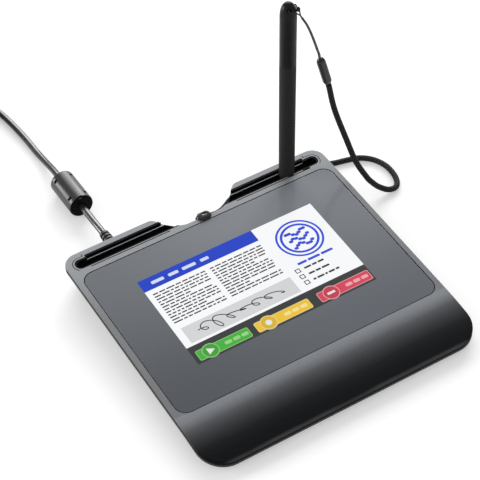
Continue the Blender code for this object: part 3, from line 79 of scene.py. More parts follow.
class Value:
    """A number in a shader, with the usual arithmetic."""

    def __init__(self, recipe: "Recipe", socket: bpy.types.NodeSocket) -> None:
        """Wraps an output socket of a recipe."""
        self.recipe = recipe
        self.socket = socket

    def _with(self, operation: str, *others: "Value | float") -> "Value":
        """Adds a Math node.

        Args:
            operation: what it does.
            others: up to two values that it works on besides this one.

        Returns:
            The result.
        """
        inputs = dict(enumerate((self, *others)))
        made = self.recipe.node("ShaderNodeMath", {"operation": operation}, inputs)
        return Value(self.recipe, made.outputs[0])

    def __add__(self, other: "Value | float") -> "Value":
        """The sum."""
        return self._with("ADD", other)

    def __sub__(self, other: "Value | float") -> "Value":
        """The difference."""
        return self._with("SUBTRACT", other)

    def __rsub__(self, other: float) -> "Value":
        """A number less this value."""
        return self._with("MULTIPLY_ADD", -1.0, other)

    def __mul__(self, other: "Value | float") -> "Value":
        """The product."""
        return self._with("MULTIPLY", other)

    __radd__ = __add__
    __rmul__ = __mul__

    def sine(self) -> "Value":
        """The sine."""
        return self._with("SINE")

    def size(self) -> "Value":
        """The absolute value."""
        return self._with("ABSOLUTE")

    def most(self, other: "Value | float") -> "Value":
        """The larger of two."""
        return self._with("MAXIMUM", other)

    def around(self, middle: float, spread: float) -> "Value":
        """A noise around one half, turned into one around another middle."""
        return (self - 0.5) * spread + middle

    def share(self, low: float, high: float) -> "Value":
        """How far this value has come from low to high, smoothed at both ends.

        Args:
            low: the value that gives zero.
            high: the value that gives one.

        Returns:
            The share.
        """
        inputs = {"Value": self, "From Min": low, "From Max": high}
        node = self.recipe.node("ShaderNodeMapRange", {"interpolation_type": "SMOOTHSTEP"}, inputs)
        return Value(self.recipe, node.outputs["Result"])


class Recipe:
    """The nodes of one material, or of the world, laid down a step at a time."""

    def __init__(self, name: str, owner: bpy.types.World | None = None) -> None:
        """Starts a material with a Principled shader, or works on a world.

        Args:
            name: the material's name.
            owner: the world, where the recipe isn't a material's.
        """
        self.owner = owner or bpy.data.materials.new(name)
        self.owner.use_nodes = True
        self.tree = self.owner.node_tree

    def feed(self, target: bpy.types.NodeSocket, source: object) -> None:
        """Links a source to a socket, or sets the socket to it where it is a plain value.

        Args:
            target: the input socket.
            source: a Value, a socket, a number or a colour.
        """
        if isinstance(source, Value):
            source = source.socket
        if isinstance(source, bpy.types.NodeSocket):
            self.tree.links.new(source, target)
        elif isinstance(source, tuple) and target.type == "RGBA":
            target.default_value = (*source[:3], 1.0)
        else:
            target.default_value = source

    def node(self, kind: str, settings: dict[str, object], inputs: dict[object, object]) -> bpy.types.Node:
        """Adds a node.

        Args:
            kind: the node's type.
            settings: its properties, set first.
            inputs: its sockets by name or index, each with a value or a link.

        Returns:
            The node.
        """
        made = self.tree.nodes.new(kind)
        for key, value in settings.items():
            setattr(made, key, value)
        for key, value in inputs.items():
            self.feed(made.inputs[key], value)
        return made

    def place(self, stretch: Point = (1.0, 1.0, 1.0), by_uv: bool = False) -> bpy.types.NodeSocket:
        """The surface's own coordinates in metres, or its UV map, stretched along each axis."""
        source = self.node("ShaderNodeTexCoord", {}, {}).outputs["UV" if by_uv else "Object"]
        return self.node("ShaderNodeMapping", {}, {"Vector": source, "Scale": stretch}).outputs["Vector"]

    def axes(self, vector: bpy.types.NodeSocket) -> tuple[Value, ...]:
        """A vector's three parts."""
        split = self.node("ShaderNodeSeparateXYZ", {}, {"Vector": vector})
        return tuple(Value(self, socket) for socket in split.outputs)

    def noise(self, size: float, detail: float = 2.0, stretch: Point = (1.0, 1.0, 1.0)) -> Value:
        """Soft noise around one half, with features of a size in metres and so many finer layers."""
        inputs = {"Vector": self.place(stretch), "Scale": 1.0 / size, "Detail": detail}
        return Value(self, self.node("ShaderNodeTexNoise", {}, inputs).outputs["Fac"])

    def blend(self, factor: Value, first: object, second: object) -> bpy.types.NodeSocket:
        """Mixes two colours by a factor."""
        return self.node("ShaderNodeMix", {"data_type": "RGBA"}, {0: factor, 6: first, 7: second}).outputs[2]

    def mottle(self, factor: Value, colour: Colour, darker: float, lighter: float) -> bpy.types.NodeSocket:
        """A colour that a factor takes from darker to lighter."""
        return self.blend(factor, tinted(colour, darker), tinted(colour, lighter))

    def shade(self, colour: object, factor: float) -> bpy.types.NodeSocket:
        """Makes a colour lighter or darker by a factor."""
        inputs = {0: colour, "Scale": factor}
        return self.node("ShaderNodeVectorMath", {"operation": "SCALE"}, inputs).outputs[0]

    def ramp(self, factor: Value, stops: Sequence[tuple[float, Colour]]) -> bpy.types.NodeSocket:
        """A colour that changes with a factor.

        Args:
            factor: where the colour is read, from zero to one.
            stops: the places and their colours, in order.

        Returns:
            The colour's socket.
        """
        made = self.node("ShaderNodeValToRGB", {}, {"Fac": factor})
        points = made.color_ramp.elements
        while len(points) < len(stops):
            points.new(0.5)
        for point, (position, colour) in zip(points, stops):
            point.position = position
            point.color = (*colour, 1.0)
        return made.outputs["Color"]

    def bump(self, height: Value, depth: float) -> bpy.types.NodeSocket:
        """A relief whose height of one stands for a depth in metres."""
        inputs = {"Height": height, "Distance": depth, "Strength": 1.0}
        return self.node("ShaderNodeBump", {}, inputs).outputs["Normal"]

    def surface(self, shader: bpy.types.NodeSocket) -> None:
        """Links a shader to the output."""
        output = next(node for node in self.tree.nodes if node.type.startswith("OUTPUT"))
        self.tree.links.new(shader, output.inputs["Surface"])

    def finish(self, **inputs: object) -> bpy.types.Material:
        """Feeds the Principled shader's sockets.

        Args:
            inputs: the sockets' sources, by their names with underscores for spaces.

        Returns:
            The material.
        """
        for key, value in inputs.items():
            self.feed(self.tree.nodes["Principled BSDF"].inputs[key.replace("_", " ")], value)
        return self.owner


def tinted(colour: Colour, factor: float) -> Colour:
    """The colour, lighter or darker by a factor."""
    return tuple(min(1.0, part * factor) for part in colour)


# Finishes


@dataclass(frozen=True)
class MouldedPlastic:
    """Moulded plastic or rubber with a fine grain and a little mottling."""

    name: str
    colour: Colour
    roughness: float = 0.5
    grain: float = 0.35 * MM
    relief: float = 0.006 * MM
    specular: float = 0.5
    patch: float = 11.0 * MM
    mottling: float = 0.12
    roughness_spread: float = 0.14

    def make(self) -> bpy.types.Material:
        """Builds the material.

        Returns:
            The material.
        """
        recipe = Recipe(self.name)
        grain = recipe.noise(self.grain, 3.0)
        patches = recipe.noise(self.patch, 3.0)
        mixed = patches * 0.7 + grain * 0.3
        return recipe.finish(
            Base_Color=recipe.mottle(mixed, self.colour, 1.0 - self.mottling, 1.0 + self.mottling),
            Roughness=patches.around(self.roughness, self.roughness_spread),
            Specular_IOR_Level=self.specular,
            Normal=recipe.bump(grain, self.relief),
        )


@dataclass(frozen=True)
class HousingPaint:
    """The housing's grey metallic paint, light at the rear rails; on the palm rest a painted reflection fades
    it to black at the front edge, with a painted highlight line along that edge.
    """

    name: str = "housing_paint"
    rear: Colour = (0.33, 0.343, 0.36)
    middle: Colour = (0.195, 0.201, 0.209)
    palm: Colour = (0.246, 0.258, 0.276)
    sheen: Colour = (0.88, 0.93, 1.0)
    depth: float = 158.8 * MM
    fleck: float = 0.28 * MM
    cloud: float = 24.0 * MM
    # how light the palm rest is, from the front edge back: a painted reflection that fades to black, and in
    # the first stop a painted highlight line on the front edge
    palm_painted_light: tuple[tuple[float, float], ...] = (
        (0.0, 0.30), (0.012, 0.0105), (0.045, 0.0135), (0.078, 0.036), (0.097, 0.09), (0.116, 0.155),
        (0.135, 0.25), (0.154, 0.38), (0.172, 0.65), (0.192, 0.90), (0.212, 1.0),
    )
    deck: tuple[tuple[float, float], ...] = ((0.222, 1.0), (0.70, 1.15))
    rail_share: float = 0.93

    def make(self) -> bpy.types.Material:
        """Builds the material, whose ramp runs from the front edge to the rear edge.

        Returns:
            The material.
        """
        recipe = Recipe(self.name)
        _, along, _ = recipe.axes(recipe.place())
        fleck = recipe.noise(self.fleck)
        cloud = recipe.noise(self.cloud)
        share = along * (1.0 / self.depth) + 0.5 + cloud.around(0.0, 0.012)
        stops = [(place, tinted(self.palm, light)) for place, light in self.palm_painted_light]
        stops += [(place, tinted(self.middle, light)) for place, light in self.deck]
        body = recipe.ramp(share, [*stops, (self.rail_share, self.rear)])
        dark, light = recipe.shade(body, 0.86), recipe.shade(body, 1.14)
        return recipe.finish(
            Base_Color=recipe.blend(fleck.share(0.3, 0.8), dark, light),
            Roughness=fleck.around(0.45, 0.2),
            Specular_IOR_Level=0.105,
            Specular_Tint=self.sheen,
            Normal=recipe.bump(fleck, 0.004 * MM),
        )


@dataclass(frozen=True)
class PrintedGlass:
    """Tempered glass, printed dark grey from behind, with a painted reflection that makes it a little lighter
    to the rear and to the right.
    """

    name: str = "printed_glass"
    front: Colour = (0.082, 0.089, 0.102)
    rear: Colour = (0.159, 0.169, 0.184)
    reach: tuple[float, float] = (-50.0 * MM, 66.0 * MM)
    # how much lighter the painted reflection makes the right side
    lift: float = 1.46
    painted_reflection_reach: tuple[float, float] = (-80.0 * MM, 30.0 * MM)

    def make(self) -> bpy.types.Material:
        """Builds the material.

        Returns:
            The material.
        """
        recipe = Recipe(self.name)
        across, along, _ = recipe.axes(recipe.place())
        smear = recipe.noise(16.0 * MM, 4.0, (1.0, 0.4, 1.0))
        # painted reflection: lighter towards the rear, and lighter again towards the right
        painted_reflection_tone = recipe.blend(along.share(*self.reach), self.front, self.rear)
        return recipe.finish(
            Base_Color=recipe.blend(across.share(*self.painted_reflection_reach), painted_reflection_tone, recipe.shade(painted_reflection_tone, self.lift)),
            Roughness=smear.around(0.12, 0.05),
            IOR=1.5,
            Normal=recipe.bump(recipe.noise(0.12 * MM, 1.0), 0.0004 * MM),
        )


@dataclass(frozen=True)
class ScreenColour:
    """A colour of the lit picture, seen through the glass."""

    name: str
    colour: Colour
    glow: float = 0.62
    cell: float = 0.135 * MM

    def make(self) -> bpy.types.Material:
        """Builds the material.

        Returns:
            The material.
        """
        recipe = Recipe(self.name)
        across, along, _ = recipe.axes(recipe.place((1.0 / self.cell, 1.0 / self.cell, 0.0)))
        cells = ((across * math.tau).sine() + (along * math.tau).sine()) * 0.02 + 0.98
        return recipe.finish(
            Base_Color=tinted(self.colour, 0.30),
            Emission_Color=recipe.mottle(cells, self.colour, 0.9, 1.0),
            Emission_Strength=self.glow,
            Roughness=0.16,
            Specular_IOR_Level=0.3,
        )


@dataclass(frozen=True)
class BraidedCord:
    """A round braid: strands cross left and right around the cord, with pale flecks painted as highlights
    where they cross.
    """

    name: str
    colour: Colour
    light: Colour
    turns: float
    carriers: float = 6.0
    # the colour of the painted highlights where strands cross, and of the pale ends
    fleck: Colour = (0.06, 0.06, 0.063)
    pale_from: float = 2.0

    def make(self) -> bpy.types.Material:
        """Builds the material, all pale beyond a share of the way from the middle to the ends.

        Returns:
            The material.
        """
        recipe = Recipe(self.name)
        along, around, _ = recipe.axes(recipe.place(by_uv=True))
        left = ((along * self.turns + around * self.carriers) * math.tau).sine()
        right = ((along * self.turns - around * self.carriers) * math.tau).sine()
        strand = left.most(right).share(-0.3, 1.0)
        fuzz = recipe.noise(0.25 * MM, 3.0)
        woven = recipe.blend(strand * 0.8 + fuzz * 0.2, self.colour, self.light)
        # the pale flecks where the strands cross are painted highlights
        crossing_glint = (left + right).share(1.2, 1.9)
        free = ((along - 0.5).size() * 2.0).share(self.pale_from, self.pale_from + 0.15)
        return recipe.finish(
            Base_Color=recipe.blend(crossing_glint.most(free), woven, self.fleck),
            Roughness=fuzz.around(0.7, 0.2),
            Specular_IOR_Level=0.25,
            Normal=recipe.bump(strand + fuzz * 0.25, 0.12 * MM),
        )


@dataclass(frozen=True)
class CableJacket:
    """The lead's smooth jacket, with a faint sheen of handling along it."""

    name: str = "cable_jacket"
    colour: Colour = (0.026, 0.0262, 0.027)
    roughness: float = 0.19
    specular: float = 0.75

    def make(self) -> bpy.types.Material:
        """Builds the material.

        Returns:
            The material.
        """
        recipe = Recipe(self.name)
        patches = recipe.noise(7.0 * MM, 3.0)
        return recipe.finish(
            Base_Color=recipe.mottle(patches, self.colour, 0.8, 1.2),
            Roughness=patches.around(self.roughness, 0.08),
            Specular_IOR_Level=self.specular,
            Normal=recipe.bump(recipe.noise(0.2 * MM), 0.002 * MM),
        )


@dataclass(frozen=True)
class BrightMetal:
    """Bare or plated metal with fine drawn lines."""

    name: str
    colour: Colour
    roughness: float = 0.28

    def make(self) -> bpy.types.Material:
        """Builds the material.

        Returns:
            The material.
        """
        recipe = Recipe(self.name)
        lines = recipe.noise(0.6 * MM, 3.0, (0.08, 1.0, 1.0))
        return recipe.finish(
            Base_Color=recipe.mottle(lines, self.colour, 0.86, 1.08),
            Roughness=lines.around(self.roughness, 0.25),
            Metallic=1.0,
            Normal=recipe.bump(lines, 0.003 * MM),
        )


@dataclass(frozen=True)
class CircuitBoard:
    """Green solder mask over copper tracks."""

    name: str = "circuit_board"
    mask: Colour = (0.012, 0.11, 0.045)
    track: Colour = (0.03, 0.20, 0.08)
    track_gap: float = 0.16 * MM
    track_length: float = 5.3 * MM
    track_pitch: float = 0.9 * MM

    def make(self) -> bpy.types.Material:
        """Builds the material.

        Returns:
            The material.
        """
        recipe = Recipe(self.name)
        inputs = {
            "Vector": recipe.place(),
            "Scale": 1.0,
            "Mortar Size": self.track_gap,
            "Brick Width": self.track_length,
            "Row Height": self.track_pitch,
        }
        made = recipe.node("ShaderNodeTexBrick", {"offset": 0.37, "squash": 1.6}, inputs)
        tracks = Value(recipe, made.outputs["Fac"])
        return recipe.finish(
            Base_Color=recipe.blend(tracks, self.mask, self.track),
            Roughness=recipe.noise(4.0 * MM).around(0.4, 0.2),
            Normal=recipe.bump(tracks, 0.02 * MM),
        )


FINISHES = {
    "paint": HousingPaint(),
    "shell": MouldedPlastic("dark_shell", (0.016, 0.016, 0.017), 0.46, relief=0.010 * MM),
    "glass": PrintedGlass(),
    "tray": MouldedPlastic("gloss_tray", (0.004, 0.004, 0.0045), 0.14, 0.8 * MM, 0.001 * MM, 0.35),
    # the pale strip on each tray's ridge is a painted highlight
    "ridge": MouldedPlastic("ridge_highlight_strip", (0.46, 0.47, 0.48), 0.35, relief=0.001 * MM),
    # near-black matte finish: the dark walls' own colour, and painted shade in gaps, grooves, the notch and
    # on the ferrite's near end
    "recess": MouldedPlastic("dark_matte_and_painted_shade", (0.004, 0.004, 0.0045), 0.6, relief=0.001 * MM, specular=0.05),
    "pen": MouldedPlastic("satin_pen", (0.030, 0.030, 0.0305), 0.5, relief=0.004 * MM, specular=0.05),
    "cap": MouldedPlastic("glossy_cap", (0.0115, 0.0115, 0.012), 0.30, relief=0.001 * MM, specular=0.14),
    "nib": MouldedPlastic("nib_plastic", (0.05, 0.05, 0.05), 0.5),
    "clasp": MouldedPlastic("gloss_clasp", (0.005, 0.005, 0.0055), 0.14, relief=0.0005 * MM),
    "clip": MouldedPlastic("gloss_clip", (0.012, 0.012, 0.013), 0.18, relief=0.001 * MM),
    "ferrite": MouldedPlastic("ferrite_case", (0.018, 0.0185, 0.020), 0.33, relief=0.002 * MM),
    "boot": MouldedPlastic("boot_rubber", (0.020, 0.020, 0.021), 0.42),
    "rubber": MouldedPlastic("foot_rubber", (0.018, 0.018, 0.018), 0.8, 0.5 * MM, 0.02 * MM),
    "seal": MouldedPlastic("foam_seal", (0.02, 0.02, 0.02), 0.9, relief=0.02 * MM),
    "cable": CableJacket(),
    "tie": MouldedPlastic("tie_strap", (0.014, 0.014, 0.015), 0.85, 0.5 * MM, 0.06 * MM),
    "steel": BrightMetal("steel", (0.56, 0.57, 0.58)),
    "zinc": BrightMetal("zinc_screw", (0.42, 0.42, 0.43), 0.34),
    "copper": BrightMetal("coil_copper", (0.70, 0.30, 0.13)),
    "contact": BrightMetal("gold_contact", (0.83, 0.61, 0.25), 0.22),
    "board": CircuitBoard(),
    "chip": MouldedPlastic("chip_resin", (0.02, 0.02, 0.022), 0.6),
    "flex": MouldedPlastic("polyimide", (0.42, 0.19, 0.04), 0.35, relief=0.002 * MM),
    "panel": MouldedPlastic("display_panel", (0.05, 0.055, 0.065), 0.12, relief=0.0005 * MM),
    "diffuser": MouldedPlastic("light_diffuser", (0.85, 0.85, 0.83), 0.4),
}
DRESSED: dict[str, bpy.types.Material] = {}


def dressed(key: str) -> bpy.types.Material:
    """The material of a finish, made once.

    Args:
        key: the finish's key.

    Returns:
        The material.
    """
    if key not in DRESSED:
        DRESSED[key] = FINISHES[key].make()
    return DRESSED[key]


# Shaping


@dataclass(frozen=True)
class Corner:
    """A corner of a flat outline, rounded by a radius."""

    x: float
    y: float
    radius: float = 0.0


def rectangle(
    width: float, depth: float, radius: float = 0.0, x: float = 0.0, y: float = 0.0
) -> list[Corner]:
    """The corners of a rectangle.

    Args:
        width: its size along X.
        depth: its size along Y.
        radius: its corners' radius.
        x: its middle's X.
        y: its middle's Y.

    Returns:
        The corners, anticlockwise.
    """
    half, deep = width / 2.0, depth / 2.0
    places = ((x - half, y - deep), (x + half, y - deep), (x + half, y + deep), (x - half, y + deep))
    return [Corner(a, b, radius) for a, b in places]


def at(x: float, y: float, z: float = 0.0) -> Matrix:
    """A move to a place."""
    return Matrix.Translation((x, y, z))


class Form:
    """A mesh on the bench, shaped by mesh operators."""

    def __init__(self) -> None:
        """Starts an empty mesh."""
        self.bm = bmesh.new()

    def sheet(
        self, corners: Sequence[Corner], height: float = 0.0, segments: int = 8
    ) -> list[bmesh.types.BMVert]:
        """Lays a flat face with rounded corners.

        Args:
            corners: the outline's corners, anticlockwise.
            height: the face's Z.
            segments: the steps of each rounded corner.

        Returns:
            The face's vertices.
        """
        start = set(self.bm.verts)
        verts = [self.bm.verts.new((corner.x, corner.y, height)) for corner in corners]
        edges = [self.bm.edges.new(pair) for pair in zip(verts, [*verts[1:], verts[0]])]
        bmesh.ops.edgeloop_fill(self.bm, edges=edges)
        for vert, corner in zip(verts, corners):
            if corner.radius > 0.0:
                self._bevel([vert], "VERTICES", corner.radius, segments)
        return [vert for vert in self.bm.verts if vert not in start]

    def _bevel(self, geometry: Sequence[object], affect: str, width: float, segments: int) -> None:
        """Rounds vertices or edges.

        Args:
            geometry: the vertices or edges.
            affect: which of the two they are, in the operator's words.
            width: the rounding's width.
            segments: its steps.
        """
        limit = affect == "EDGES"
        settings = {"offset_type": "OFFSET", "profile": 0.5, "material": -1, "clamp_overlap": limit}
        bmesh.ops.bevel(self.bm, geom=geometry, offset=width, segments=segments, affect=affect, **settings)

    def plate(self, corners: Sequence[Corner], low: float, high: float, segments: int = 8) -> "Form":
        """A straight solid with a rounded outline.

        Args:
            corners: the outline's corners, anticlockwise.
            low: its lower face's Z.
            high: its upper face's Z.
            segments: the steps of each rounded corner.

        Returns:
            The form itself.
        """
        face = self.sheet(corners, low, segments)[0].link_faces[0]
        raised = bmesh.ops.extrude_face_region(self.bm, geom=[face], use_keep_orig=True)
        tops = [item for item in raised["geom"] if isinstance(item, bmesh.types.BMVert)]
        bmesh.ops.translate(self.bm, verts=tops, vec=(0.0, 0.0, high - low))
        return self.outward()

    def stack(self, layers: Sequence[tuple[Sequence[Corner], float]], segments: int = 8) -> "Form":
        """A solid through outlines at rising or falling heights, each with as many corners.

        Args:
            layers: each outline with its height.
            segments: the steps of each rounded corner.

        Returns:
            The form itself.
        """
        rings = []
        for index, (corners, height) in enumerate(layers):
            face = self.sheet(corners, height, segments)[0].link_faces[0]
            rings.append(list(face.edges))
            if 0 < index < len(layers) - 1:
                bmesh.ops.delete(self.bm, geom=[face], context="FACES_ONLY")
        for lower, upper in zip(rings, rings[1:]):
            bmesh.ops.bridge_loops(self.bm, edges=lower + upper)
        return self.outward()

    def turn(self, profile: Sequence[tuple[float, float]], steps: int = 48, closed: bool = False) -> "Form":
        """A round solid about Z.

        Args:
            profile: (radius, height) points from one end of the axis to the other, or round a ring.
            steps: the facets round the axis.
            closed: True where the profile is a ring's own closed section.

        Returns:
            The form itself.
        """
        verts = [self.bm.verts.new((radius, 0.0, height)) for radius, height in profile]
        pairs = list(zip(verts, verts[1:])) + [(verts[-1], verts[0])] * closed
        edges = [self.bm.edges.new(pair) for pair in pairs]
        axis = {"cent": (0.0, 0.0, 0.0), "axis": (0.0, 0.0, 1.0), "dvec": (0.0, 0.0, 0.0)}
        bmesh.ops.spin(self.bm, geom=verts + edges, angle=math.tau, steps=steps, use_merge=True, **axis)
        bmesh.ops.remove_doubles(self.bm, verts=self.bm.verts, dist=1.0e-7)
        return self.outward()

    def soften(self, width: float, segments: int = 3, above: float = -1.0, below: float = 1.0) -> "Form":
        """Rounds the sharp edges that lie between two heights.

        Args:
            width: the rounding's width.
            segments: its steps.
            above: the height that an edge lies over.
            below: the height that an edge lies under.

        Returns:
            The form itself.
        """
        edges = []
        for edge in self.bm.edges:
            heights = [vert.co.z for vert in edge.verts]
            corner = len(edge.link_faces) == 2 and edge.calc_face_angle(0.0) > math.radians(50.0)
            if corner and min(heights) > above and max(heights) < below:
                edges.append(edge)
        self._bevel(edges, "EDGES", width, segments)
        return self

    def move(self, matrix: Matrix) -> "Form":
        """Places the form."""
        bmesh.ops.transform(self.bm, matrix=matrix, verts=self.bm.verts)
        return self

    def mirror(self, side: int) -> "Form":
        """Leaves a form made for the right as it is, or turns it over for the left.

        Args:
            side: 1 for the right and -1 for the left.

        Returns:
            The form itself.
        """
        if side < 0:
            self.move(Matrix.Scale(-1.0, 4, (1.0, 0.0, 0.0))).outward()
        return self

    def outward(self) -> "Form":
        """Turns every face outwards."""
        bmesh.ops.recalc_face_normals(self.bm, faces=self.bm.faces)
        return self

    def piece(self, name: str) -> bpy.types.Object:
        """Puts the form into the scene and clears the bench.

        Args:
            name: the object's name.

        Returns:
            The object.
        """
        mesh = bpy.data.meshes.new(name)
        self.bm.to_mesh(mesh)
        self.bm.free()
        return linked(name, mesh)


def linked(name: str, data: bpy.types.ID) -> bpy.types.Object:
    """A new object in the scene.

    Args:
        name: its name.
        data: its mesh, curve, lamp or camera.

    Returns:
        The object.
    """
    made = bpy.data.objects.new(name, data)
    bpy.context.collection.objects.link(made)
    return made


def slab(
    name: str,
    corners: Sequence[Corner],
    low: float,
    high: float,
    place: Matrix = STAY,
    segments: int = 8,
    side: int = 1,
) -> bpy.types.Object:
    """A plate as an object, for a piece or a tool.

    Args:
        name: its name.
        corners: its outline.
        low: its lower face's Z.
        high: its upper face's Z.
        place: where it goes.
        segments: the steps of each rounded corner.
        side: -1 for its mirror image.

    Returns:
        The object.
    """
    return Form().plate(corners, low, high, segments).mirror(side).move(place).piece(name)


def drum(
    name: str, radius: float, low: float, high: float, place: Matrix = STAY, steps: int = 32
) -> bpy.types.Object:
    """A cylinder about Z as an object, used as a post or a tool.

    Args:
        name: its name.
        radius: its radius.
        low: its lower end's Z.
        high: its upper end's Z.
        place: where it goes.
        steps: its facets.

    Returns:
        The object.
    """
    profile = ((0.0, low), (radius, low), (radius, high), (0.0, high))
    return Form().turn(profile, steps).move(place).piece(name)


def carve(target: bpy.types.Object, tools: Iterable[bpy.types.Object], operation: str = "DIFFERENCE") -> None:
    """Cuts tools out of a piece, joins them to it or keeps what they share, and clears them away.

    Args:
        target: the piece.
        tools: the objects to use up.
        operation: a Boolean operation.
    """
    for tool in tools:
        modifier = target.modifiers.new(tool.name, "BOOLEAN")
        modifier.operation = operation
        modifier.solver = "EXACT"
        modifier.object = tool
        bake(target)
        bpy.data.objects.remove(tool, do_unlink=True)


def evaluated(piece: bpy.types.Object) -> bpy.types.Mesh:
    """A new mesh of a piece as its modifiers and curves leave it."""
    return bpy.data.meshes.new_from_object(piece.evaluated_get(bpy.context.evaluated_depsgraph_get()))


def bake(piece: bpy.types.Object) -> None:
    """Applies a piece's modifiers to its mesh.

    Args:
        piece: the piece.
    """
    mesh = evaluated(piece)
    piece.modifiers.clear()
    piece.data = mesh


def round_edges(piece: bpy.types.Object, width: float, segments: int = 2, angle: float = 40.0) -> None:
    """Rounds a piece's sharp edges with a live modifier.

    Args:
        piece: the piece.
        width: the rounding's width.
        segments: its steps.
        angle: the least angle of a sharp edge, in degrees.
    """
    modifier = piece.modifiers.new("edge_round", "BEVEL")
    modifier.width = width
    modifier.segments = segments
    modifier.limit_method = "ANGLE"
    modifier.angle_limit = math.radians(angle)
    modifier.harden_normals = False
    modifier.material = 0


def hand_over(
    piece: bpy.types.Object,
    finish: str | ScreenColour | BraidedCord,
    body: Body,
    nodes: Sequence[str] = (),
    even: bool = True,
) -> bpy.types.Object:
    """Gives a finished piece its material, its shading and its place in the frame.

    Args:
        piece: the piece, in place.
        finish: a finish's key, or a finish of the piece's own.
        body: the body that it rides on.
        nodes: the nodes that it stands for.
        even: True to weigh the normals by their faces.

    Returns:
        The piece.
    """
    material = dressed(finish) if isinstance(finish, str) else finish.make()
    piece.data.materials.clear()
    piece.data.materials.append(material)
    if piece.type == "MESH":
        piece.data.shade_smooth()
        piece.data.set_sharp_from_angle(angle=math.radians(35.0))
        if even:
            piece.modifiers.new("even_shading", "WEIGHTED_NORMAL").keep_sharp = True
    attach(piece, body.value)
    if nodes:
        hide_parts(*nodes)
    LOG.info("%s stands for %s", piece.name, ", ".join(nodes) or "nothing in the solids")
    return piece


def part_finish(piece: bpy.types.Object, finish: str, chosen: Callable[[Vector, Vector], bool]) -> None:
    """Gives some faces of a piece a second finish.

    Args:
        piece: the piece, which has its first finish.
        finish: the second finish's key.
        chosen: tells from a face's middle, in the deck's coordinates, and its normal if it is one.
    """
    piece.data.materials.append(dressed(finish))
    to_deck = DECK.matrix.inverted()
    for face in piece.data.polygons:
        if chosen(to_deck @ face.center, face.normal):
            face.material_index = 1


# The deck's plane


@dataclass(frozen=True)
class Deck:
    """The pad's sloping top plane, and how the palm rest drops away from it."""

    slope: float = math.radians(3.0)
    height: float = 13.3393 * MM
    shift: float = -0.2240 * MM
    palm_start: float = -45.5 * MM
    palm_length: float = 34.0 * MM
    palm_drop: float = 3.2 * MM
    palm_sections: int = 18

    @property
    def matrix(self) -> Matrix:
        """Takes deck coordinates to the table's."""
        return at(0.0, self.shift, self.height) @ Matrix.Rotation(self.slope, 4, "X")

    def drop(self, y: float) -> float:
        """How far the palm rest lies under the plane."""
        share = max(0.0, (self.palm_start - y) / self.palm_length)
        return self.palm_drop * share * share

    def level(self, y: float, height: float) -> float:
        """The deck Z of a height over the table."""
        return (height - self.height - y * math.sin(self.slope)) / math.cos(self.slope)

    def section(self, form: Form) -> None:
        """Cuts a form across the palm rest, so that it can follow the curve.

        Args:
            form: the form, in the deck's coordinates.
        """
        for index in range(self.palm_sections):
            y = self.palm_start - self.palm_length * index / self.palm_sections
            geometry = [*form.bm.verts, *form.bm.edges, *form.bm.faces]
            plane = {"plane_co": (0.0, y, 0.0), "plane_no": (0.0, 1.0, 0.0)}
            bmesh.ops.bisect_plane(form.bm, geom=geometry, dist=1.0e-7, **plane)

    def bent(self, form: Form, name: str) -> bpy.types.Object:
        """Makes a form follow the palm rest's curve.

        Args:
            form: the form, in the deck's coordinates.
            name: the object's name.

        Returns:
            The object, in place.
        """
        self.section(form)
        for vert in form.bm.verts:
            vert.co.z -= self.drop(vert.co.y)
        return form.move(self.matrix).piece(name)


DECK = Deck()


# Housing


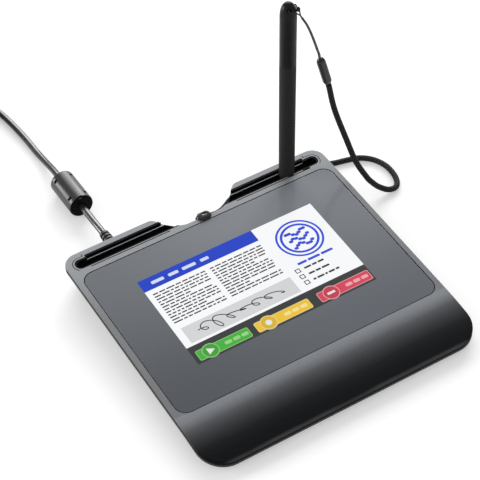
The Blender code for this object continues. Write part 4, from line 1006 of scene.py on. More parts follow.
@dataclass
class Housing:
    """The painted top shell, the dark lower shell, the feet and the case screws."""

    half_width: float = 81.2 * MM
    half_depth: float = 79.5 * MM
    front_radius: float = 15.0 * MM
    rear_radius: float = 8.0 * MM
    notch_half: float = 26.3 * MM
    notch_foot: float = 13.0 * MM
    notch_floor: float = 66.6 * MM
    tip: float = 1.3 * MM
    scallop: float = 3.0 * MM
    plate: float = 3.0 * MM
    edge: float = 1.8 * MM
    edge_round: float = 0.8 * MM
    rim: float = 1.4 * MM
    gap: float = 0.3 * MM
    wall: float = 1.6 * MM
    lift: float = 1.5 * MM
    floor: float = 3.1 * MM
    undercut: tuple[float, float, float] = (10.0 * MM, 5.0 * MM, 0.6 * MM)
    undercut_wall: float = 2.0 * MM
    flat: float = -12.0 * MM
    boss_radius: float = 2.8 * MM
    boss_low: float = 5.1 * MM
    post_radius: float = 3.4 * MM
    shank_radius: float = 1.3 * MM
    counterbore: float = 2.2 * MM
    board_post_radius: float = 2.5 * MM
    board_shank_radius: float = 1.1 * MM
    foot_radius: float = 6.0 * MM
    foot_height: float = 1.7 * MM
    lead_hole: float = 2.7 * MM
    lead_hole_place: Point = (-48.8 * MM, 75.3 * MM, 8.5 * MM)
    shaded_floor_reach: tuple[float, float, float] = (79.0 * MM, -46.0 * MM, 77.5 * MM)
    pocket_reach: tuple[float, float, float, float] = (64.4 * MM, 69.1 * MM, 66.9 * MM, 68.1 * MM)
    screw_head: float = 1.9 * MM
    screw_shank: float = 1.0 * MM
    screw_heights: tuple[float, float, float, float] = (2.0 * MM, 3.2 * MM, 8.4 * MM, 8.9 * MM)
    screw_cross: tuple[float, float] = (1.9 * MM, 0.45 * MM)
    screw_places: tuple[tuple[float, float], ...] = tuple(
        (side * 66.0 * MM, y * MM) for y in (58.0, 3.0, -52.0) for side in (-1, 1)
    )
    board_places: tuple[tuple[float, float], ...] = tuple(
        (side * 36.5 * MM, y * MM) for y in (21.5, 42.5) for side in (-1, 1)
    )
    foot_places: tuple[tuple[str, float, float], ...] = (
        ("rear_left", -50.0 * MM, 65.5 * MM),
        ("rear_right", 50.0 * MM, 65.5 * MM),
        ("front_left", -60.0 * MM, -64.0 * MM),
        ("front_right", 60.0 * MM, -64.0 * MM),
    )

    def outline(self, side: float = 0.0, front: float = 0.0, rear: float = 0.0) -> list[Corner]:
        """The housing's outline, drawn in at the sides, the front and the rear.

        Args:
            side: the inset at the sides.
            front: the inset at the front.
            rear: the inset at the rear and in the notch.

        Returns:
            The corners, anticlockwise.
        """
        right, low, high = self.half_width - side, front - self.half_depth, self.half_depth - rear
        # the notch's ends slant by half a right angle, which draws their corners in by less
        slant = rear * math.tan(math.radians(22.5))
        inner, foot, floor = self.notch_half + slant, self.notch_foot + slant, self.notch_floor - rear
        least = 0.6 * MM
        front_radius = max(self.front_radius - max(side, front), least)
        rear_radius = max(self.rear_radius - max(side, rear) / 2.0, least)
        tip, scallop = max(self.tip - slant, 0.5 * MM), self.scallop + slant
        return [
            Corner(-right, low, front_radius),
            Corner(right, low, front_radius),
            Corner(right, high, rear_radius),
            Corner(inner, high, tip),
            Corner(foot, floor, scallop),
            Corner(-foot, floor, scallop),
            Corner(-inner, high, tip),
            Corner(-right, high, rear_radius),
        ]

    def top(self, trays: "PenTrays", glass: "GlassAndScreen", pen: "Pen") -> None:
        """The painted shell, with the glass's pocket, the tray slots and the pen's hole.

        Args:
            trays: the trays, which cut their slots and grooves.
            glass: the glass, which cuts its pocket.
            pen: the pen, which cuts its hole.
        """
        lip = self.wall + self.gap
        outer = Form().plate(self.outline(), -self.edge, 0.0, 10)
        outer.soften(self.edge_round, 5, above=-0.1 * MM)
        outer.soften(0.15 * MM, 2, below=0.1 * MM - self.edge)
        shell = DECK.bent(outer, "housing_top")
        inner = Form().plate(self.outline(lip, lip, lip), -self.plate, 0.4 * MM - self.edge, 10)
        joined = [DECK.bent(inner, "inner_plate")]
        for x, y in self.screw_places:
            top = DECK.height + y * math.sin(DECK.slope) - self.plate - DECK.drop(y) + 0.5 * MM
            joined.append(drum("boss", self.boss_radius, self.boss_low, top, at(x, y)))
        carve(shell, joined, "UNION")
        tools = [glass.pocket_tool(), trays.slot_tool(-1), trays.slot_tool(1), pen.hole_tool()]
        for x, y in self.screw_places:
            tools.append(drum("pilot", self.shank_radius, 4.0 * MM, 9.2 * MM, at(x, y), 20))
        carve(shell, tools)
        carve(shell, trays.groove_tools(-1) + trays.groove_tools(1))
        round_edges(shell, 0.10 * MM)
        hand_over(shell, "paint", Body.PAD, ("top_shell",))
        part_finish(shell, "recess", self.in_shade)

    def in_shade(self, place: Vector, normal: Vector) -> bool:
        """True for a dark face of the top: the outer sides and the walls in and round the rails, near black,
        with painted shade on the glass gap's walls and floor, the groove floors and the finger pocket.

        Args:
            place: the face's middle, in the deck's coordinates.
            normal: its direction.

        Returns:
            Whether the face is dark.
        """
        x, y, z = place
        side, front, rear = self.shaded_floor_reach
        left, right, near, far = self.pocket_reach
        # painted shade: floors sunk under the deck, in the glass's gap and the grooves, and the finger pocket
        shaded_floor = abs(x) < side and front < y < rear and z < -0.35 * MM
        pocket = left < x < right and near < y < far and z < -0.1 * MM
        return shaded_floor or pocket or abs(normal.z) < 0.35

    def base(self, trays: "PenTrays") -> None:
        """The dark lower shell: a rim under the painted edge, undercut sides and a level floor.

        Args:
            trays: the trays, which cut their room.
        """
        rim_top = -self.edge - self.gap
        rim_low = rim_top - self.rim
        flat, wall = self.flat, self.wall
        walls = (self.undercut_wall, self.undercut_wall, wall)
        inside = [inset + extra for inset, extra in zip(self.undercut, walls)]
        outer = ((self.outline(), rim_top), (self.outline(), rim_low), (self.outline(*self.undercut), flat))
        inner = (
            (self.outline(wall, wall, wall), rim_top + 1.0 * MM),
            (self.outline(wall, wall, wall), rim_low + 0.5 * MM),
            (self.outline(*inside), flat),
        )
        shells = []
        for layers, level, name in ((outer, self.lift, "housing_base"), (inner, self.floor, "hollow")):
            form = Form().stack(layers, 10)
            if layers is outer:
                form.soften(0.25 * MM, 3, above=flat / 2.0)
            DECK.section(form)
            for vert in form.bm.verts:
                share = min(1.0, max(0.0, (rim_low - vert.co.z) / (rim_low - flat)))
                high = vert.co.z if share == 0.0 else rim_low
                low = DECK.level(vert.co.y, level)
                vert.co.z = (high - DECK.drop(vert.co.y)) * (1.0 - share) + low * share
            shells.append(form.move(DECK.matrix).piece(name))
        shell = shells[0]
        carve(shell, shells[1:])
        self.fittings(shell, trays)
        hand_over(shell, "shell", Body.PAD, ("bottom_shell",))
        # the lower shell's faces in the notch get the near-black finish: painted shade
        part_finish(shell, "recess", lambda place, normal: abs(place.x) < 30.0 * MM and place.y > 66.0 * MM)

    def fittings(self, shell: bpy.types.Object, trays: "PenTrays") -> None:
        """Gives the lower shell its posts, screw holes, foot recesses and the lead's hole.

        Args:
            shell: the lower shell.
            trays: the trays, which cut their room.
        """
        case, board = self.screw_places, self.board_places
        posts = [drum("post", self.post_radius, 2.4 * MM, 4.8 * MM, at(x, y)) for x, y in case]
        posts += [drum("board_post", self.board_post_radius, 2.4 * MM, 4.1 * MM, at(x, y)) for x, y in board]
        carve(shell, posts, "UNION")
        tools = [trays.slot_tool(side, self.gap, 5.7 * MM) for side in (-1, 1)]
        for x, y in case:
            tools.append(drum("counterbore", self.counterbore, -1.0 * MM, 3.5 * MM, at(x, y)))
            tools.append(drum("shank_hole", self.shank_radius, 1.0 * MM, 7.0 * MM, at(x, y)))
        for x, y in board:
            tools.append(drum("thread_hole", self.board_shank_radius, 2.5 * MM, 7.0 * MM, at(x, y)))
        for _, x, y in self.foot_places:
            tools.append(drum("recess", self.foot_radius + self.gap, -1.0 * MM, 2.0 * MM, at(x, y)))
        place = at(*self.lead_hole_place) @ ALONG_Y
        tools.append(drum("lead_hole", self.lead_hole, 0.0, 8.0 * MM, place, 24))
        carve(shell, tools)

    def feet(self) -> None:
        """Four rubber discs with a rounded rim and a shallow ring."""
        rim, top, dish = self.foot_radius, self.foot_height, 0.25 * MM
        profile = [(0.0, dish), (3.9 * MM, dish), (4.1 * MM, 0.0), (rim - 0.5 * MM, 0.0)]
        profile += [(rim - 0.15 * MM, 0.15 * MM), (rim, 0.5 * MM), (rim, top), (0.0, top)]
        for name, x, y in self.foot_places:
            made = Form().turn(profile).move(at(x, y)).piece(f"rubber_foot_{name}")
            hand_over(made, "rubber", Body.PAD, (f"foot_{name}",))

    def screws(self) -> None:
        """Case screws with a cross recess, each over its own node."""
        low, top, end, tip = self.screw_heights
        head, shank, edge = self.screw_head, self.screw_shank, 0.4 * MM
        profile = [(0.0, low), (head - edge, low), (head, low + edge), (head, top), (shank, top)]
        profile += [(shank, end), (0.0, tip)]
        for index, (x, y) in enumerate(self.screw_places, start=1):
            screw = Form().turn(profile, 32).piece(f"cross_screw_{index}")
            for width, depth in (self.screw_cross, self.screw_cross[::-1]):
                carve(screw, [slab("bit", rectangle(width, depth), low - 0.5 * MM, low + 0.7 * MM)])
            screw.data.transform(at(x, y))
            hand_over(screw, "zinc", Body.PAD, (f"case_screw_{index}",), even=False)


# Pen trays


@dataclass
class PenTrays:
    """The glossy trays in the two rear rails."""

    front: float = 67.5 * MM
    rear: float = 75.85 * MM
    end: float = 76.2 * MM
    narrow_from: float = 68.7 * MM
    narrow_rear: float = 74.4 * MM
    inner: float = 8.0 * MM
    end_radius: float = 3.2 * MM
    depth: float = 5.1 * MM
    wall: float = 0.6 * MM
    floor: float = 0.8 * MM
    ridge: float = 73.6 * MM
    ridge_top: float = -1.7 * MM
    ridge_width: float = 0.6 * MM
    # where the pale strip, a painted highlight, starts along the ridge, and its width
    highlight_start: float = 21.0 * MM
    highlight_width: float = 0.56 * MM
    shelf: float = 0.9 * MM
    groove_depth: float = 0.6 * MM
    ring_grow: tuple[float, float] = (0.9 * MM, 1.3 * MM)
    ring_end: Box = (12.0 * MM, 10.0 * MM, 0.0, 75.6 * MM, 72.1 * MM)
    front_groove: Box = (48.0 * MM, 0.55 * MM, 0.1 * MM, 45.0 * MM, 66.65 * MM)
    finger_pocket: Box = (4.5 * MM, 1.1 * MM, 0.2 * MM, 66.75 * MM, 67.5 * MM)
    pocket_depth: float = 1.5 * MM
    mouth_width: float = 17.0 * MM
    mouth_middle: float = 16.2 * MM
    mouth_reach: float = 26.0 * MM
    gap: float = 0.3 * MM
    over: float = 2.0 * MM

    def corners(self, grow: float) -> list[Corner]:
        """The right slot's outline.

        Args:
            grow: how much larger it is.

        Returns:
            The corners, anticlockwise.
        """
        tight, end = 0.15 * MM, self.end_radius + grow
        return [
            Corner(self.inner, self.front - grow),
            Corner(self.end + grow, self.front - grow, end),
            Corner(self.end + grow, self.narrow_rear + grow, end),
            Corner(self.narrow_from + grow, self.narrow_rear + grow, tight),
            Corner(self.narrow_from + grow, self.rear + grow, tight),
            Corner(self.inner, self.rear + grow),
        ]

    def block(self, name: str, side: int, grow: float, low: float, high: float) -> bpy.types.Object:
        """A solid with the slot's outline, larger by grow, on the right (1) or the left (-1)."""
        return slab(name, self.corners(grow), low, high, DECK.matrix, 10, side)

    def slot_tool(self, side: int, grow: float = 0.0, depth: float = 5.0 * MM) -> bpy.types.Object:
        """The cutter that leaves room for a tray."""
        return self.block("slot_tool", side, grow, -depth, self.over)

    def groove_tools(self, side: int) -> list[bpy.types.Object]:
        """The cutters for the fine grooves round a slot's closed end and along its front.

        Args:
            side: 1 for the right rail, which has a finger pocket too, and -1 for the left.

        Returns:
            The cutters, in place.
        """
        inner, outer = self.ring_grow
        ring = self.block("ring", side, outer, -self.groove_depth, self.over)
        carve(ring, [self.block("island", side, inner, -1.0 * MM, 3.0 * MM)])
        kept = slab("kept", rectangle(*self.ring_end), -2.0 * MM, 4.0 * MM, DECK.matrix, side=side)
        carve(ring, [kept], "INTERSECT")
        line = rectangle(*self.front_groove)
        tools = [ring, slab("line_tool", line, -self.groove_depth, self.over, DECK.matrix, 3, side)]
        if side > 0:
            pocket = rectangle(*self.finger_pocket)
            tools.append(slab("pocket", pocket, -self.pocket_depth, self.over, DECK.matrix, 3))
        return tools

    def hollows(self, side: int, housing: Housing) -> list[bpy.types.Object]:
        """The cutters for one tray: the trough, the shelf behind the ridge and the room over both.

        Args:
            side: 1 for the right rail and -1 for the left.
            housing: the housing, whose outline the tray's wall follows.

        Returns:
            The cutters, in place.
        """
        rim = self.gap + self.wall
        front, end = self.front + rim, self.end - rim
        narrow_rear, rear = self.narrow_rear - rim, self.rear - rim
        ahead, behind = self.ridge - self.ridge_width / 2.0, self.ridge + self.ridge_width / 2.0
        round_end = (narrow_rear - front) / 2.0 - 0.15 * MM
        small = 0.3 * MM
        trough = [
            Corner(self.inner, front),
            Corner(end, front, round_end),
            Corner(end, narrow_rear, round_end),
            Corner(self.narrow_from, narrow_rear, small),
            Corner(self.narrow_from, ahead, small),
            Corner(self.inner, ahead),
        ]
        start, stop = self.inner, self.narrow_from - self.wall
        shelf, above = (
            [Corner(start, low), Corner(stop, low), Corner(stop, rear), Corner(start, rear)]
            for low in (behind, ahead - self.ridge_width)
        )
        levels = (
            (trough, self.floor - self.depth),
            (shelf, self.ridge_top - self.shelf),
            (above, self.ridge_top),
        )
        tools = []
        for corners, low in levels:
            tool = slab("hollow", corners, low, self.over, DECK.matrix, 10, side)
            limit = slab("limit", housing.outline(rim, rim, rim), -8.0 * MM, 4.0 * MM, DECK.matrix, 10)
            carve(tool, [limit], "INTERSECT")
            tools.append(tool)
        return tools

    def build(self, housing: Housing, pen: "Pen") -> None:
        """Both trays: a trough, a ridge with a pale strip on it that is a painted highlight, and a shelf
        behind.

        Args:
            housing: the housing, whose outline the trays follow.
            pen: the pen, which stands in the right one.
        """
        rim = self.gap + self.wall
        depth, middle = self.rear - self.front - 2.0 * rim, (self.front + self.rear) / 2.0
        mouth = rectangle(self.mouth_width, depth, 0.0, self.mouth_middle, middle)
        for name, side in SIDES:
            tray = self.block(f"tray_{name}", side, -self.gap, -self.depth, -self.gap)
            rails = housing.outline(self.gap, self.gap, self.gap)
            carve(tray, [slab("rails", rails, -8.0 * MM, self.over, DECK.matrix, 10)], "INTERSECT")
            tools = self.hollows(side, housing)
            tools.append(slab("mouth", mouth, self.ridge_top + 0.03 * MM, self.over, DECK.matrix, side=side))
            if side > 0:
                tools.append(pen.hole_tool())
            carve(tray, tools)
            round_edges(tray, 0.12 * MM, 3)
            bake(tray)
            hand_over(tray, "tray", Body.PAD, (f"pen_tray_{name}",))
            part_finish(tray, "recess", self.in_mouth)
            self.line(name, side, pen)

    def in_mouth(self, place: Vector, normal: Vector) -> bool:
        """True for a dark face of a tray, the wall at its open end."""
        return abs(place.x) < self.mouth_reach and abs(normal.x) > 0.3

    def line(self, name: str, side: int, pen: "Pen") -> None:
        """The pale strip along a ridge's top, a painted highlight, broken where the pen stands.

        Args:
            name: the rail's name.
            side: 1 for the right rail and -1 for the left.
            pen: the pen.
        """
        start, stop = self.highlight_start, self.narrow_from
        corners = rectangle(stop - start, self.highlight_width, 0.2 * MM, (start + stop) / 2.0, self.ridge)
        low, high = self.ridge_top - 0.3 * MM, self.ridge_top + 0.1 * MM
        form = Form().plate(corners, low, high, 4).soften(0.08 * MM, 2, above=high - 0.1 * MM)
        made = form.mirror(side).move(DECK.matrix).piece(f"ridge_highlight_strip_{name}")
        if side > 0:
            carve(made, [pen.hole_tool()])
        hand_over(made, "ridge", Body.PAD, even=False)


# Glass and screen


# each part's colour and how strongly it shines
SCREEN_TONES = {
    "strip": ((0.052, 0.058, 0.055), 0.50),
    "page": ((0.91, 0.92, 0.93), 0.75),
    "heading": ((0.0135, 0.056, 0.60), 0.62),
    "title": ((0.74, 0.79, 0.97), 0.62),
    "print": ((0.045, 0.045, 0.05), 0.62),
    "ticks": ((0.03, 0.03, 0.035), 0.62),
    "field": ((0.73, 0.74, 0.75), 0.62),
    "emblem": ((0.030, 0.070, 0.60), 0.85),
    "stroke": ((0.02, 0.02, 0.022), 0.62),
}


@dataclass
class GlassAndScreen:
    """The cover glass, with the lit picture drawn as thin films on it."""

    width: float = 155.0 * MM
    depth: float = 107.6 * MM
    middle: float = 9.1 * MM
    radius: float = 6.5 * MM
    thick: float = 1.1 * MM
    sink: float = 0.1 * MM
    gap: float = 0.4 * MM
    pocket_depth: float = 2.2 * MM
    window_width: float = 123.5 * MM
    window_depth: float = 84.0 * MM
    window_middle: float = 7.0 * MM
    film: float = 0.012 * MM
    picture_width: float = 108.0
    emblem_centre: tuple[float, float] = (35.5, 25.0)
    button_y: float = -16.4
    button_kinds: tuple[tuple[str, float, float, Colour, Colour], ...] = (
        ("green", -36.2, 31.0, (0.055, 0.40, 0.045), (0.30, 0.62, 0.22)),
        ("yellow", -0.6, 33.0, (0.78, 0.50, 0.035), (0.86, 0.70, 0.30)),
        ("red", 37.2, 32.0, (0.60, 0.055, 0.095), (0.82, 0.36, 0.40)),
    )
    tick_x: float = 22.0
    tick_rows: tuple[float, ...] = (5.4, 0.8, -3.8)
    seed: int = 11

    def pocket_tool(self) -> bpy.types.Object:
        """The cutter for the glass's pocket and the window under it.

        Returns:
            The cutter, in place.
        """
        grow, high = 2.0 * self.gap, 2.0 * MM
        grown = rectangle(self.width + grow, self.depth + grow, self.radius + self.gap, 0.0, self.middle)
        window = rectangle(self.window_width, self.window_depth, 2.0 * MM, 0.0, self.window_middle)
        made = slab("pocket", grown, -self.pocket_depth, high, DECK.matrix, 12)
        carve(made, [slab("window", window, -6.0 * MM, 0.5 * MM - self.pocket_depth, DECK.matrix)], "UNION")
        return made

    def glass(self) -> None:
        """The printed glass with its softened edge."""
        corners = rectangle(self.width, self.depth, self.radius, 0.0, self.middle)
        form = Form().plate(corners, -self.sink - self.thick, -self.sink, 14).soften(0.22 * MM)
        hand_over(form.move(DECK.matrix).piece("printed_cover"), "glass", Body.PAD, ("cover_glass",))

    def box(self, x: float, y: float, width: float, depth: float, radius: float = 0.0) -> list[Corner]:
        """A rectangle by its middle in millimetres."""
        return rectangle(width * MM, depth * MM, radius * MM, x * MM, y * MM)

    def films(self, form: Form, parts: Iterable[Sequence[Corner]], layer: int, segments: int = 5) -> Form:
        """Adds thin films to a form.

        Args:
            form: the form.
            parts: the films' outlines.
            layer: how many films lie under them.
            segments: the steps of each rounded corner.

        Returns:
            The form.
        """
        base = layer * self.film - self.sink
        for corners in parts:
            form.plate(corners, base - 0.9 * self.film, base + self.film, segments)
        return form

    def colour_piece(
        self, name: str, parts: Iterable[Sequence[Corner]], layer: int, colour: Colour, glow: float = 0.62
    ) -> None:
        """One colour of the picture, as thin films in one piece.

        Args:
            name: the piece's name.
            parts: the outlines of its films.
            layer: how many films lie under it.
            colour: its colour.
            glow: how strongly it shines.
        """
        made = self.films(Form(), parts, layer).move(DECK.matrix).piece(name)
        hand_over(made, ScreenColour(f"{name}_light", colour, glow), Body.PAD, even=False)

    def words(
        self,
        reach: tuple[float, float],
        top: float,
        rows: int,
        step: float,
        high: float,
        chance: random.Random,
    ) -> list[list[Corner]]:
        """Rows of short dashes that stand for small print, in millimetres.

        Args:
            reach: where the rows start and end.
            top: the first row's height.
            rows: how many there are.
            step: the distance between rows.
            high: the dashes' height.
            chance: the source of the dashes' lengths.

        Returns:
            The dashes' outlines.
        """
        dashes = []
        for row in range(rows):
            x = reach[0]
            # every fifth row is the last of its paragraph
            end = reach[1] - (0.0 if row % 5 < 4 else chance.uniform(8.0, 20.0))
            while x < end - 1.0:
                length = min(chance.uniform(1.3, 5.2), end - x)
                dashes.append(self.box(x + length / 2.0, top - row * step, length, high))
                x += length + 0.75
        return dashes

    def picture(self) -> None:
        """A plain form to sign: a heading, small print, a round emblem, a field and three buttons."""
        chance = random.Random(self.seed)
        width = self.picture_width
        tones = SCREEN_TONES
        self.colour_piece("screen_strip", [self.box(0.0, 11.2, width, 64.8)], 0, *tones["strip"])
        self.colour_piece("screen_page", [self.box(0.0, 17.3, width, 52.6)], 1, *tones["page"])
        self.colour_piece("screen_heading", [self.box(-19.0, 39.4, 70.0, 8.4)], 2, *tones["heading"])
        lengths = (7.5, 6.0, 8.2, 5.0)
        title = [self.box(-44.0 + 9.5 * i, 39.2, length, 2.1, 0.6) for i, length in enumerate(lengths)]
        self.colour_piece("screen_title", title, 3, *tones["title"])
        small = []
        for reach in ((-51.0, -19.5), (-16.5, 15.0)):
            small += self.words(reach, 31.6, 12, 2.05, 0.85, chance)
        for index, y in enumerate(self.tick_rows):
            small += self.words((26.0, 38.0 + 2.0 * index), y, 1, 1.0, 1.25, chance)
        self.colour_piece("screen_print", small, 2, *tones["print"])
        x, half, line, side = self.tick_x, 1.2, 0.5, 2.9
        ticks = []
        for y in self.tick_rows:
            ticks += [self.box(x, y + half, side, line), self.box(x, y - half, side, line)]
            ticks += [self.box(x - half, y, line, side), self.box(x + half, y, line, side)]
        self.colour_piece("screen_ticks", ticks, 2, *tones["ticks"])
        self.colour_piece("screen_field", [self.box(-17.0, -1.6, 66.0, 11.6)], 2, *tones["field"])
        self.emblem()
        self.scribble()
        self.buttons()

    def emblem(self) -> None:
        """Two blue rings round three waves, with short bars under them."""
        x, y = self.emblem_centre
        base = 2.0 * self.film - self.sink
        low, high = base - 0.9 * self.film, base + self.film
        form = Form()
        for inner, outer in ((9.3 * MM, 10.7 * MM), (12.0 * MM, 13.2 * MM)):
            form.turn(((inner, low), (outer, low), (outer, high), (inner, high)), 72, closed=True)
        form.move(at(x * MM, y * MM))
        waves = [
            self.box(x - 5.4 + 1.8 * step, y + row * 4.4 + 1.3 * math.sin(step * 1.25 + row), 2.5, 1.9, 0.9)
            for row in (-1, 0, 1)
            for step in range(7)
        ]
        places = ((-8.3, 5.6), (-1.0, 7.4), (7.2, 7.2))
        bars = [self.box(x + along, 9.4, length, 1.6, 0.5) for along, length in places]
        made = self.films(form, waves + bars, 2, 4).move(DECK.matrix).piece("screen_emblem")
        light = ScreenColour("screen_emblem_light", *SCREEN_TONES["emblem"])
        hand_over(made, light, Body.PAD, even=False)

    def scribble(self) -> None:
        """A pen stroke of loops in the grey field."""
        count, loops, fade_from = 220, 41.0, 0.87
        points = []
        for index in range(count):
            turn = index / (count - 1)
            swell = math.sin(math.pi * min(1.0, turn * 1.15)) ** 0.6 if turn < fade_from else 0.35
            x = -43.0 + 50.0 * turn + 3.4 * math.sin(turn * loops)
            y = -1.6 + 5.3 * swell * math.cos(turn * loops + 0.6) * (0.55 + 0.45 * math.sin(turn * 9.0))
            points.append(Vector((x * MM, y * MM, 0.0)))
        curve = cord_curve("stroke", points, 0.29 * MM, 1)
        mesh = evaluated(curve)
        bpy.data.objects.remove(curve, do_unlink=True)
        pressed = Matrix.Scale(0.06, 4, (0.0, 0.0, 1.0))
        mesh.transform(DECK.matrix @ at(0.0, 0.0, 3.0 * self.film - self.sink) @ pressed)
        light = ScreenColour("screen_stroke_light", *SCREEN_TONES["stroke"])
        hand_over(linked("screen_stroke", mesh), light, Body.PAD, even=False)

    def buttons(self) -> None:
        """Three buttons on the dark strip, each with a pale edge, a disc and its own sign."""
        y = self.button_y
        for index, (name, x, width, colour, pale) in enumerate(self.button_kinds):
            disc = x - width / 2.0 + 7.6
            places = ((disc - 1.6, y - 2.2), (disc + 2.4, y), (disc - 1.6, y + 2.2))
            signs = (
                [Corner(across * MM, up * MM) for across, up in places],
                self.box(disc, y, 3.6, 3.6, 1.79),
                self.box(disc, y, 4.6, 1.5, 0.3),
            )
            edge = [self.box(x, y, width, 7.0, 1.0), self.box(disc, y, 9.6, 9.6, 4.79)]
            label = [self.box(x + 2.6 + 4.9 * step, y, 4.0, 2.2, 0.7) for step in range(3)]
            for part, parts, layer, tone, glow in (
                ("edge", edge, 1, pale, 0.62),
                ("face", [self.box(x, y, width - 0.9, 6.1, 0.7)], 2, colour, 0.80),
                ("rim", [self.box(disc, y, 9.4, 9.4, 4.69)], 3, pale, 0.62),
                ("disc", [self.box(disc, y, 8.3, 8.3, 4.14)], 4, colour, 0.62),
                ("sign", [signs[index]], 5, (0.88, 0.88, 0.86), 0.62),
                ("label", label, 3, tinted(pale, 1.15), 0.62),
            ):
                self.colour_piece(f"button_{name}_{part}", parts, layer, tone, glow)


# Pen


@dataclass
class Pen:
    """The pen in its holder: barrel and cap, with an eye for the tether."""

    stand: tuple[float, float] = (56.4 * MM, 71.55 * MM)
    lean: float = math.radians(2.6)
    tip_height: float = 4.7 * MM
    length: float = 127.0 * MM
    radius: float = 4.6 * MM
    end_radius: float = 4.45 * MM
    taper: float = 14.5 * MM
    joint: float = 87.5 * MM
    joint_gap: float = 0.05 * MM
    reach: float = 1.2 * MM
    cone: float = 11.0 * MM
    tip_radius: float = 1.7 * MM
    nib_radius: float = 0.9 * MM
    bore: float = 2.6 * MM
    plug: float = 7.0 * MM
    dome: float = 9.0 * MM
    dome_power: float = 2.3
    clear: float = 0.3 * MM
    eye_radius: float = 1.0 * MM
    eye_drop: float = 3.0 * MM
    eye_off: float = 1.9 * MM
    eye_turn: float = math.radians(31.0)

    @property
    def matrix(self) -> Matrix:
        """Takes the pen's coordinates, from its tip upwards, to the table's.

        Returns:
            The matrix.
        """
        on_deck = DECK.matrix @ Vector((*self.stand, 0.0))
        axis = Vector((math.sin(self.lean), 0.0, math.cos(self.lean)))
        tip = on_deck - axis * ((on_deck.z - self.tip_height) / axis.z)
        return at(*tip) @ Matrix.Rotation(self.lean, 4, "Y")

    @property
    def eye(self) -> Matrix:
        """The tether eye's frame in the pen's: Z runs through the hole."""
        off = at(0.0, -self.eye_off, self.length - self.eye_drop)
        return Matrix.Rotation(self.eye_turn, 4, "Z") @ off @ Matrix.Rotation(math.radians(90.0), 4, "Y")

    def hole_tool(self) -> bpy.types.Object:
        """The cutter for the pen's way through the rail."""
        return drum("pen_hole", self.end_radius + self.clear, 0.0, 60.0 * MM, self.matrix, 64)

    def barrel(self) -> None:
        """The lower part: a cone, a slight taper up to the joint, and the bore."""
        tip, small = self.nib_radius + self.clear, 0.15 * MM
        low = self.reach
        profile = [(tip, low + small), (tip + 0.2 * MM, low), (self.tip_radius - small, low)]
        for step in range(15):
            share = (step + 0.3) / 14.3
            swell = (self.end_radius - self.tip_radius) * math.sin(share * math.pi / 2.0)
            profile.append((self.tip_radius + swell, self.reach + (self.cone - self.reach) * share))
        profile += [(self.end_radius, self.taper), (self.radius, self.joint)]
        profile += [(self.bore, self.joint), (self.bore, 9.0 * MM), (tip, 6.4 * MM)]
        made = Form().turn(profile, 72, closed=True).move(self.matrix).piece("barrel")
        hand_over(made, "pen", Body.PEN, ("pen_barrel",))

    def cap(self) -> None:
        """The upper part with its rounded end and the eye cut through it."""
        low, start, inside = self.joint + self.joint_gap, self.length - self.dome, self.bore - self.clear
        profile = [(0.0, low - self.plug), (inside, low - self.plug), (inside, low)]
        profile += [(self.radius, low), (self.radius, start)]
        steps, power = 22, self.dome_power
        for step in range(1, steps):
            share = math.sin(math.pi / 2.0 * step / steps)
            profile.append((self.radius * (1.0 - share**power) ** (1.0 / power), start + self.dome * share))
        profile.append((0.0, self.length))
        made = Form().turn(profile, 72).piece("pen_head")
        carve(made, [drum("eye", self.eye_radius, -8.0 * MM, 8.0 * MM, self.eye)])
        made.data.transform(self.matrix)
        round_edges(made, 0.04 * MM, 2, 45.0)
        hand_over(made, "cap", Body.PEN, ("pen_cap",))


# Cords


def smooth_route(route: Sequence[Sequence[float]], spacing: float) -> list[Vector]:
    """Evenly spaced points on a smooth curve through the route's points.

    Args:
        route: the points to pass through.
        spacing: the distance between the points that come back.

    Returns:
        The points.
    """
    knots = [Vector(point) for point in route]
    knots = [knots[0] * 2.0 - knots[1], *knots, knots[-1] * 2.0 - knots[-2]]
    fine = []
    steps = 16
    for a, b, c, d in zip(knots, knots[1:], knots[2:], knots[3:]):
        square, cube = 2.0 * a - 5.0 * b + 4.0 * c - d, 3.0 * b - a - 3.0 * c + d
        for step in range(steps):
            t = step / steps
            fine.append(0.5 * (2.0 * b + (c - a) * t + square * t * t + cube * t * t * t))
    fine.append(knots[-2])
    reach = [0.0]
    for before, after in zip(fine, fine[1:]):
        reach.append(reach[-1] + (after - before).length)
    count = max(2, round(reach[-1] / spacing))
    points = []
    index = 0
    for step in range(count + 1):
        wanted = reach[-1] * step / count
        while index < len(reach) - 2 and reach[index + 1] < wanted:
            index += 1
        span = reach[index + 1] - reach[index]
        share = (wanted - reach[index]) / span if span else 0.0
        points.append(fine[index].lerp(fine[index + 1], min(1.0, share)))
    return points


def length_of(points: Sequence[Vector]) -> float:
    """The length of a line through points."""
    return sum((after - before).length for before, after in zip(points, points[1:]))


def cord_curve(name: str, points: Sequence[Vector], radius: float, resolution: int) -> bpy.types.Object:
    """A round cord along points, closed at both ends.

    Args:
        name: its name.
        points: its centreline.
        radius: its radius.
        resolution: the curve's bevel resolution.

    Returns:
        The curve's object.
    """
    curve = bpy.data.curves.new(name, "CURVE")
    curve.dimensions = "3D"
    curve.bevel_depth = radius
    curve.bevel_resolution = resolution
    curve.use_fill_caps = True
    spline = curve.splines.new("POLY")
    spline.points.add(len(points) - 1)
    for slot, point in zip(spline.points, points):
        slot.co = (*point, 1.0)
    return linked(name, curve)


